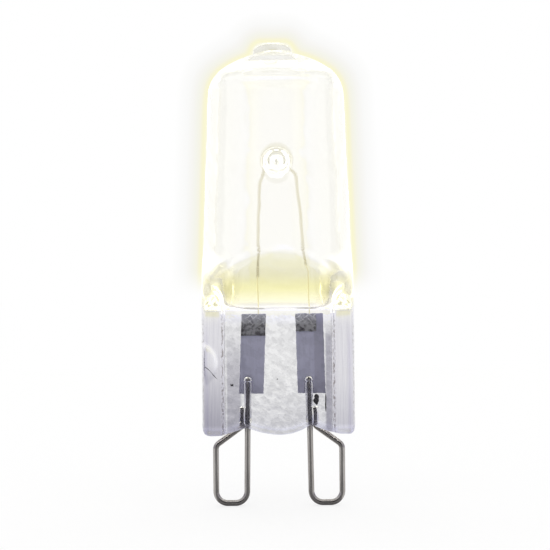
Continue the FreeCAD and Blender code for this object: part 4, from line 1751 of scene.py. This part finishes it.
@dataclass
class ContactLoop:
    """One contact loop of round wire, with its tail going back up behind the leg."""

    side: Side
    wire: float = 0.56
    leg_high: float = 2.86
    leg_low: float = 3.04
    leg_top: float = 12.2
    spread: float = 5.95
    knee: float = 5.7
    tail: tuple[float, float] = (3.42, 0.35)
    tail_entry: float = 7.5
    tail_top: float = 9.3
    bends: Limits = (1.1, 1.1, 0.7, 0.5)
    bend_steps: int = 16
    run_steps: int = 4
    around: int = 28
    cut_end: float = 0.8

    def build(self, finish: bpy.types.Material) -> bpy.types.Object:
        """Bends the wire and dresses it.

        Args:
            finish: the drawn wire's material.

        Returns:
            The piece.
        """
        foot = self.wire / 2
        corners = [
            (self.leg_high, 0.0, self.leg_top), (self.leg_low, 0.0, foot), (self.spread, 0.0, foot),
            (self.spread, 0.0, self.knee), (*self.tail, self.tail_entry), (*self.tail, self.tail_top),
        ]
        corners = [(self.side.value * x, y, z) for x, y, z in corners]
        line = rounded(corners, self.bends, self.bend_steps)
        runs = [np.linspace(start, end, self.run_steps + 1)[:-1] for start, end in zip(line, line[1:])]
        line = np.concatenate([*runs, line[-1:]])
        radii = np.full(len(line), foot)
        radii[[0, -1]] *= self.cut_end
        draft = MeshDraft()
        draft.add_tube(line, radii, self.around)
        piece = draft.build("contact_wire_" + self.side.word)
        piece.data.materials.append(finish)
        return place_piece(piece, Slot.CONTACT, "contact_loop_" + self.side.word)


@dataclass
class SealParts:
    """The foils, mesh tabs and lead wires in the pinch, whose CAD solids keep their shape."""

    foil: FoilFinish = FoilFinish()
    tab: TabFinish = TabFinish()
    # The lead: another colour above its change levels and a glow there, which is painted light.
    lead: WireFinish = WireFinish(
        name="lead_wire", bright=(0.95, 0.92, 0.78), dull=(0.72, 0.68, 0.52), stretch=(16.0, 16.0, 0.8),
        scorched=(0.80, 0.76, 0.60), heated=(16.5, 18.0), shine=(0.30, 0.28, 0.17), roughness=0.6,
    )

    def build(self) -> list[bpy.types.Object]:
        """Gives each CAD node its finish.

        Returns:
            The nodes.
        """
        nodes = []
        for kind, look in (("foil", self.foil), ("weld_tab", self.tab), ("lead_wire", self.lead)):
            finish = look.material()
            for side in Side:
                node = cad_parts[f"{kind}_{side.word}"]
                for slot in node.material_slots:
                    slot.material = finish
                nodes.append(node)
        return nodes


# Studio


@dataclass
class Studio:
    """White studio round the lamp: floor, light tent, a card with a painted glow and camera."""

    # The camera: a lens that takes in the frame's width at the lamp.
    distance: float = 130.0
    centre: tuple[float, float] = (-0.227, 21.745)
    frame_width: float = 51.89
    lean: float = 0.53
    sensor: float = 36.0
    bounces: int = 32
    glossy_bounces: int = 24

    # The tent, dark round the camera and grey low at the sides, as rays through glass and mirrored rays
    # see it. The opening is measured along the way to the camera.
    tent: Colour = (0.98, 0.98, 0.985)
    opening_limits: Limits = (0.80, 0.93)
    least_reach: float = 0.05
    opening_levels: Limits = (0.85, 0.5)
    side_limits: Limits = (0.25, 0.75)
    top_limits: Limits = (0.2, 0.8)
    side_seen: Colour = (0.95, 0.94, 0.90)
    side_mirrored: Colour = (0.60, 0.59, 0.66)
    opening_seen: Colour = (0.75, 0.74, 0.79)
    opening_mirrored: Colour = (0.03, 0.03, 0.035)

    # The floor: what share of its white comes from light on it, and what glass and wire see of it.
    floor_half: float = 900.0
    floor_shadow: float = 0.30
    # Painted shade: rays through glass see the floor near the lamp darker grey.
    floor_through: Colour = (0.40, 0.40, 0.44)
    floor_through_limits: Limits = (20.0, 170.0)
    # Painted reflection: mirrored rays see the floor dark ahead of the lamp.
    floor_mirrored: Colour = (0.02, 0.02, 0.025)
    floor_middle: tuple[float, float] = (6.2, 0.3)
    speck_size: float = 20.0
    speck_share: float = 0.02
    speck_dark: float = 0.96

    # The card and, on it, the outline of the bulb as the camera sees it.
    card_behind: float = 200.0
    card_box: tuple[float, float, float] = (62.0, -40.0, 130.0)
    side_half: float = 7.12
    side_taper: float = -0.037
    side_level: float = 20.0
    crown_centre: float = 33.9
    crown_radius: float = 8.8
    shoulder: float = 2.1
    tip_half: float = 1.0
    tip_round: float = 0.9
    tip_blend: float = 0.8
    glow_reach: float = 3.0
    glow_levels: Limits = (19.6, 22.6)

    # The painted glow on the card by its distance from that outline, where 1 is the reach.
    glow: tuple[tuple[float, Colour], ...] = (
        (0.0, linear(251, 249, 226)),
        (0.06, linear(250, 247, 210)),
        (0.13, linear(248, 245, 217)),
        (0.20, linear(246, 244, 230)),
        (0.30, linear(245, 245, 236)),
        (0.42, linear(247, 246, 242)),
        (0.60, linear(250, 250, 249)),
        (1.0, WHITE),
    )

    def light_tent(self) -> None:
        """Lights the lamp from the white tent."""
        world = bpy.data.worlds.new("tent")
        bpy.context.scene.world = world
        world.use_nodes = True
        graph = Graph(world.node_tree)
        ray = graph.node("LightPath")
        x, y, z = graph.axes(graph.node("TexCoord").outputs["Generated"])
        level = graph.math("SQRT", graph.math("SUBTRACT", 1.0, graph.times(z, z), clamp=True))
        ahead = graph.math("DIVIDE", graph.times(y, -1.0), graph.math("MAXIMUM", level, self.least_reach))
        low = graph.span(graph.math("ABSOLUTE", z), self.opening_levels)
        opening = graph.times(graph.span(ahead, self.opening_limits), low)
        mirrored = graph.mirrored(ray)
        sideways = graph.span(graph.math("ABSOLUTE", x), self.side_limits)
        tent = graph.mix(sideways, self.tent, graph.mix(mirrored, self.side_seen, self.side_mirrored))
        tent = graph.mix(graph.span(z, self.top_limits), tent, WHITE)
        tent = graph.mix(opening, tent, graph.mix(mirrored, self.opening_seen, self.opening_mirrored))
        shaped = graph.math("MAXIMUM", ray.outputs["Is Glossy Ray"], ray.outputs["Is Transmission Ray"])
        colour = graph.mix(ray.outputs["Is Camera Ray"], graph.mix(shaped, WHITE, tent), WHITE)
        graph.join(world.node_tree.nodes["Background"], Color=colour, Strength=1.0)

    def floor(self) -> None:
        """Lays the white floor, which keeps a faint shadow under the lamp, with painted shade for rays
        through glass and a painted dark reflection ahead of the lamp.
        """
        surface = Surface("floor_white")
        ray = surface.node("LightPath")
        lit, own = (self.floor_shadow,) * 3, (1 - self.floor_shadow,) * 3
        speck = surface.times(surface.noise(surface.place, 1 / self.speck_size, 2.0), self.speck_share)
        through = surface.mix(surface.span(surface.y, self.floor_through_limits), self.floor_through, own)
        glow = surface.mix(ray.outputs["Is Transmission Ray"], own, through)
        # Where mirrored rays see the painted dark reflection: on the floor ahead of the lamp.
        beside = surface.math("SUBTRACT", surface.aside, self.floor_middle[0])
        beside = surface.math("MAXIMUM", beside, 0.0)
        front = surface.math("SUBTRACT", self.floor_middle[1], surface.y)
        reach = surface.math("MAXIMUM", surface.length(beside, front), self.least_reach)
        ahead = surface.span(surface.math("DIVIDE", front, reach), self.opening_limits)
        material = surface.finish(
            Base_Color=surface.mix(speck, lit, (self.floor_shadow * self.speck_dark,) * 3),
            Roughness=1.0,
            Specular_IOR_Level=0.0,
            Emission_Color=surface.mix(
                surface.times(surface.mirrored(ray), ahead), glow, self.floor_mirrored
            ),
            Emission_Strength=1.0,
        )
        half = self.floor_half
        corners = [(-half, -half, 0), (half, -half, 0), (half, half, 0), (-half, half, 0)]
        self._sheet("floor", corners, material)

    def glow_card(self) -> None:
        """Stands a white card far behind the lamp, with a painted glow round the bulb's outline as the
        camera sees it.
        """
        surface = Surface("glow_card")
        nearer = self.distance / (self.distance + self.card_behind)
        middle = (self.centre[0] * (1 - nearer), 0.0, self.centre[1] * (1 - nearer))
        scaled = surface.vector("MULTIPLY", surface.place, (nearer, 0.0, nearer))
        x, _, z = surface.axes(surface.vector("ADD", scaled, middle))
        across = surface.math("ABSOLUTE", x)
        above = surface.math("SUBTRACT", z, self.side_level)
        half = surface.math("MULTIPLY_ADD", above, self.side_taper, self.side_half)
        side = surface.math("SUBTRACT", across, half)
        over = surface.math("MAXIMUM", surface.math("SUBTRACT", z, self.crown_centre), 0.0)
        crown = surface.math("SUBTRACT", surface.length(across, over), self.crown_radius)
        bulb = surface.math("SMOOTH_MAX", side, crown, self.shoulder)
        beside = surface.math("ABSOLUTE", surface.math("SUBTRACT", x, Envelope.tip_shift))
        beside = surface.math("MAXIMUM", surface.math("SUBTRACT", beside, self.tip_half), 0.0)
        above = surface.math("SUBTRACT", z, Envelope.crown)
        tip = surface.math("SUBTRACT", surface.length(beside, above), self.tip_round)
        away = surface.math("SMOOTH_MIN", bulb, tip, self.tip_blend)
        tone = surface.ramp(surface.math("DIVIDE", away, self.glow_reach, clamp=True), self.glow)
        material = surface.finish(
            Base_Color=BLACK,
            Roughness=1.0,
            Specular_IOR_Level=0.0,
            Emission_Color=surface.mix(surface.span(z, self.glow_levels), WHITE, tone),
            Emission_Strength=1.0,
        )
        wide, low, high = self.card_box
        corners = [(-wide, low), (wide, low), (wide, high), (-wide, high)]
        corners = [(x, self.card_behind, z) for x, z in corners]
        self._sheet("glow_card", corners, material)

    @staticmethod
    def _sheet(
        name: str, corners: Sequence[Sequence[float]], material: bpy.types.Material
    ) -> bpy.types.Object:
        """A flat sheet of four corners.

        Args:
            name: the object's name.
            corners: the corners in order, in millimetres.
            material: its material.

        Returns:
            The object.
        """
        mesh = bpy.data.meshes.new(name)
        mesh.from_pydata([[share * MM for share in corner] for corner in corners], [], [(0, 1, 2, 3)])
        mesh.materials.append(material)
        return link_object(name, mesh)

    def camera(self) -> None:
        """Sets the camera level with the middle of the frame, leaning as the photographer's did."""
        data = bpy.data.cameras.new("camera")
        data.sensor_width = self.sensor
        data.lens = data.sensor_width * self.distance / self.frame_width
        data.clip_start, data.clip_end = 0.005, 20.0
        camera = link_object("camera", data)
        bpy.context.scene.camera = camera
        lean = math.radians(self.lean)
        right = Vector((math.cos(lean), 0.0, -math.sin(lean)))
        up = Vector((math.sin(lean), 0.0, math.cos(lean)))
        back = Vector((0.0, -1.0, 0.0))
        matrix = Matrix((right, up, back)).transposed().to_4x4()
        matrix.translation = Vector((self.centre[0], -self.distance, self.centre[1])) * MM
        camera.matrix_world = matrix

    def build(self) -> None:
        """Builds the whole studio."""
        scene = bpy.context.scene
        scene.view_settings.view_transform = "Standard"
        scene.cycles.max_bounces = self.bounces
        scene.cycles.transmission_bounces = self.bounces
        scene.cycles.glossy_bounces = self.glossy_bounces
        self.camera()
        self.light_tent()
        self.floor()
        self.glow_card()


def main() -> None:
    """Builds the studio and every piece, and reports the pieces."""
    logging.basicConfig(level=logging.INFO, format="%(name)s: %(message)s")
    Studio().build()
    pieces = [Envelope().build(), Coil().build()]
    wire = WireFinish().material()
    pieces += [ContactLoop(side).build(wire) for side in Side]
    pieces += SealParts().build()
    for piece in pieces:
        finishes = ", ".join(material.name for material in piece.data.materials)
        LOG.info("%s: %d faces in %s", piece.name, len(piece.data.polygons), finishes)


if __name__ == "__main__":
    main()
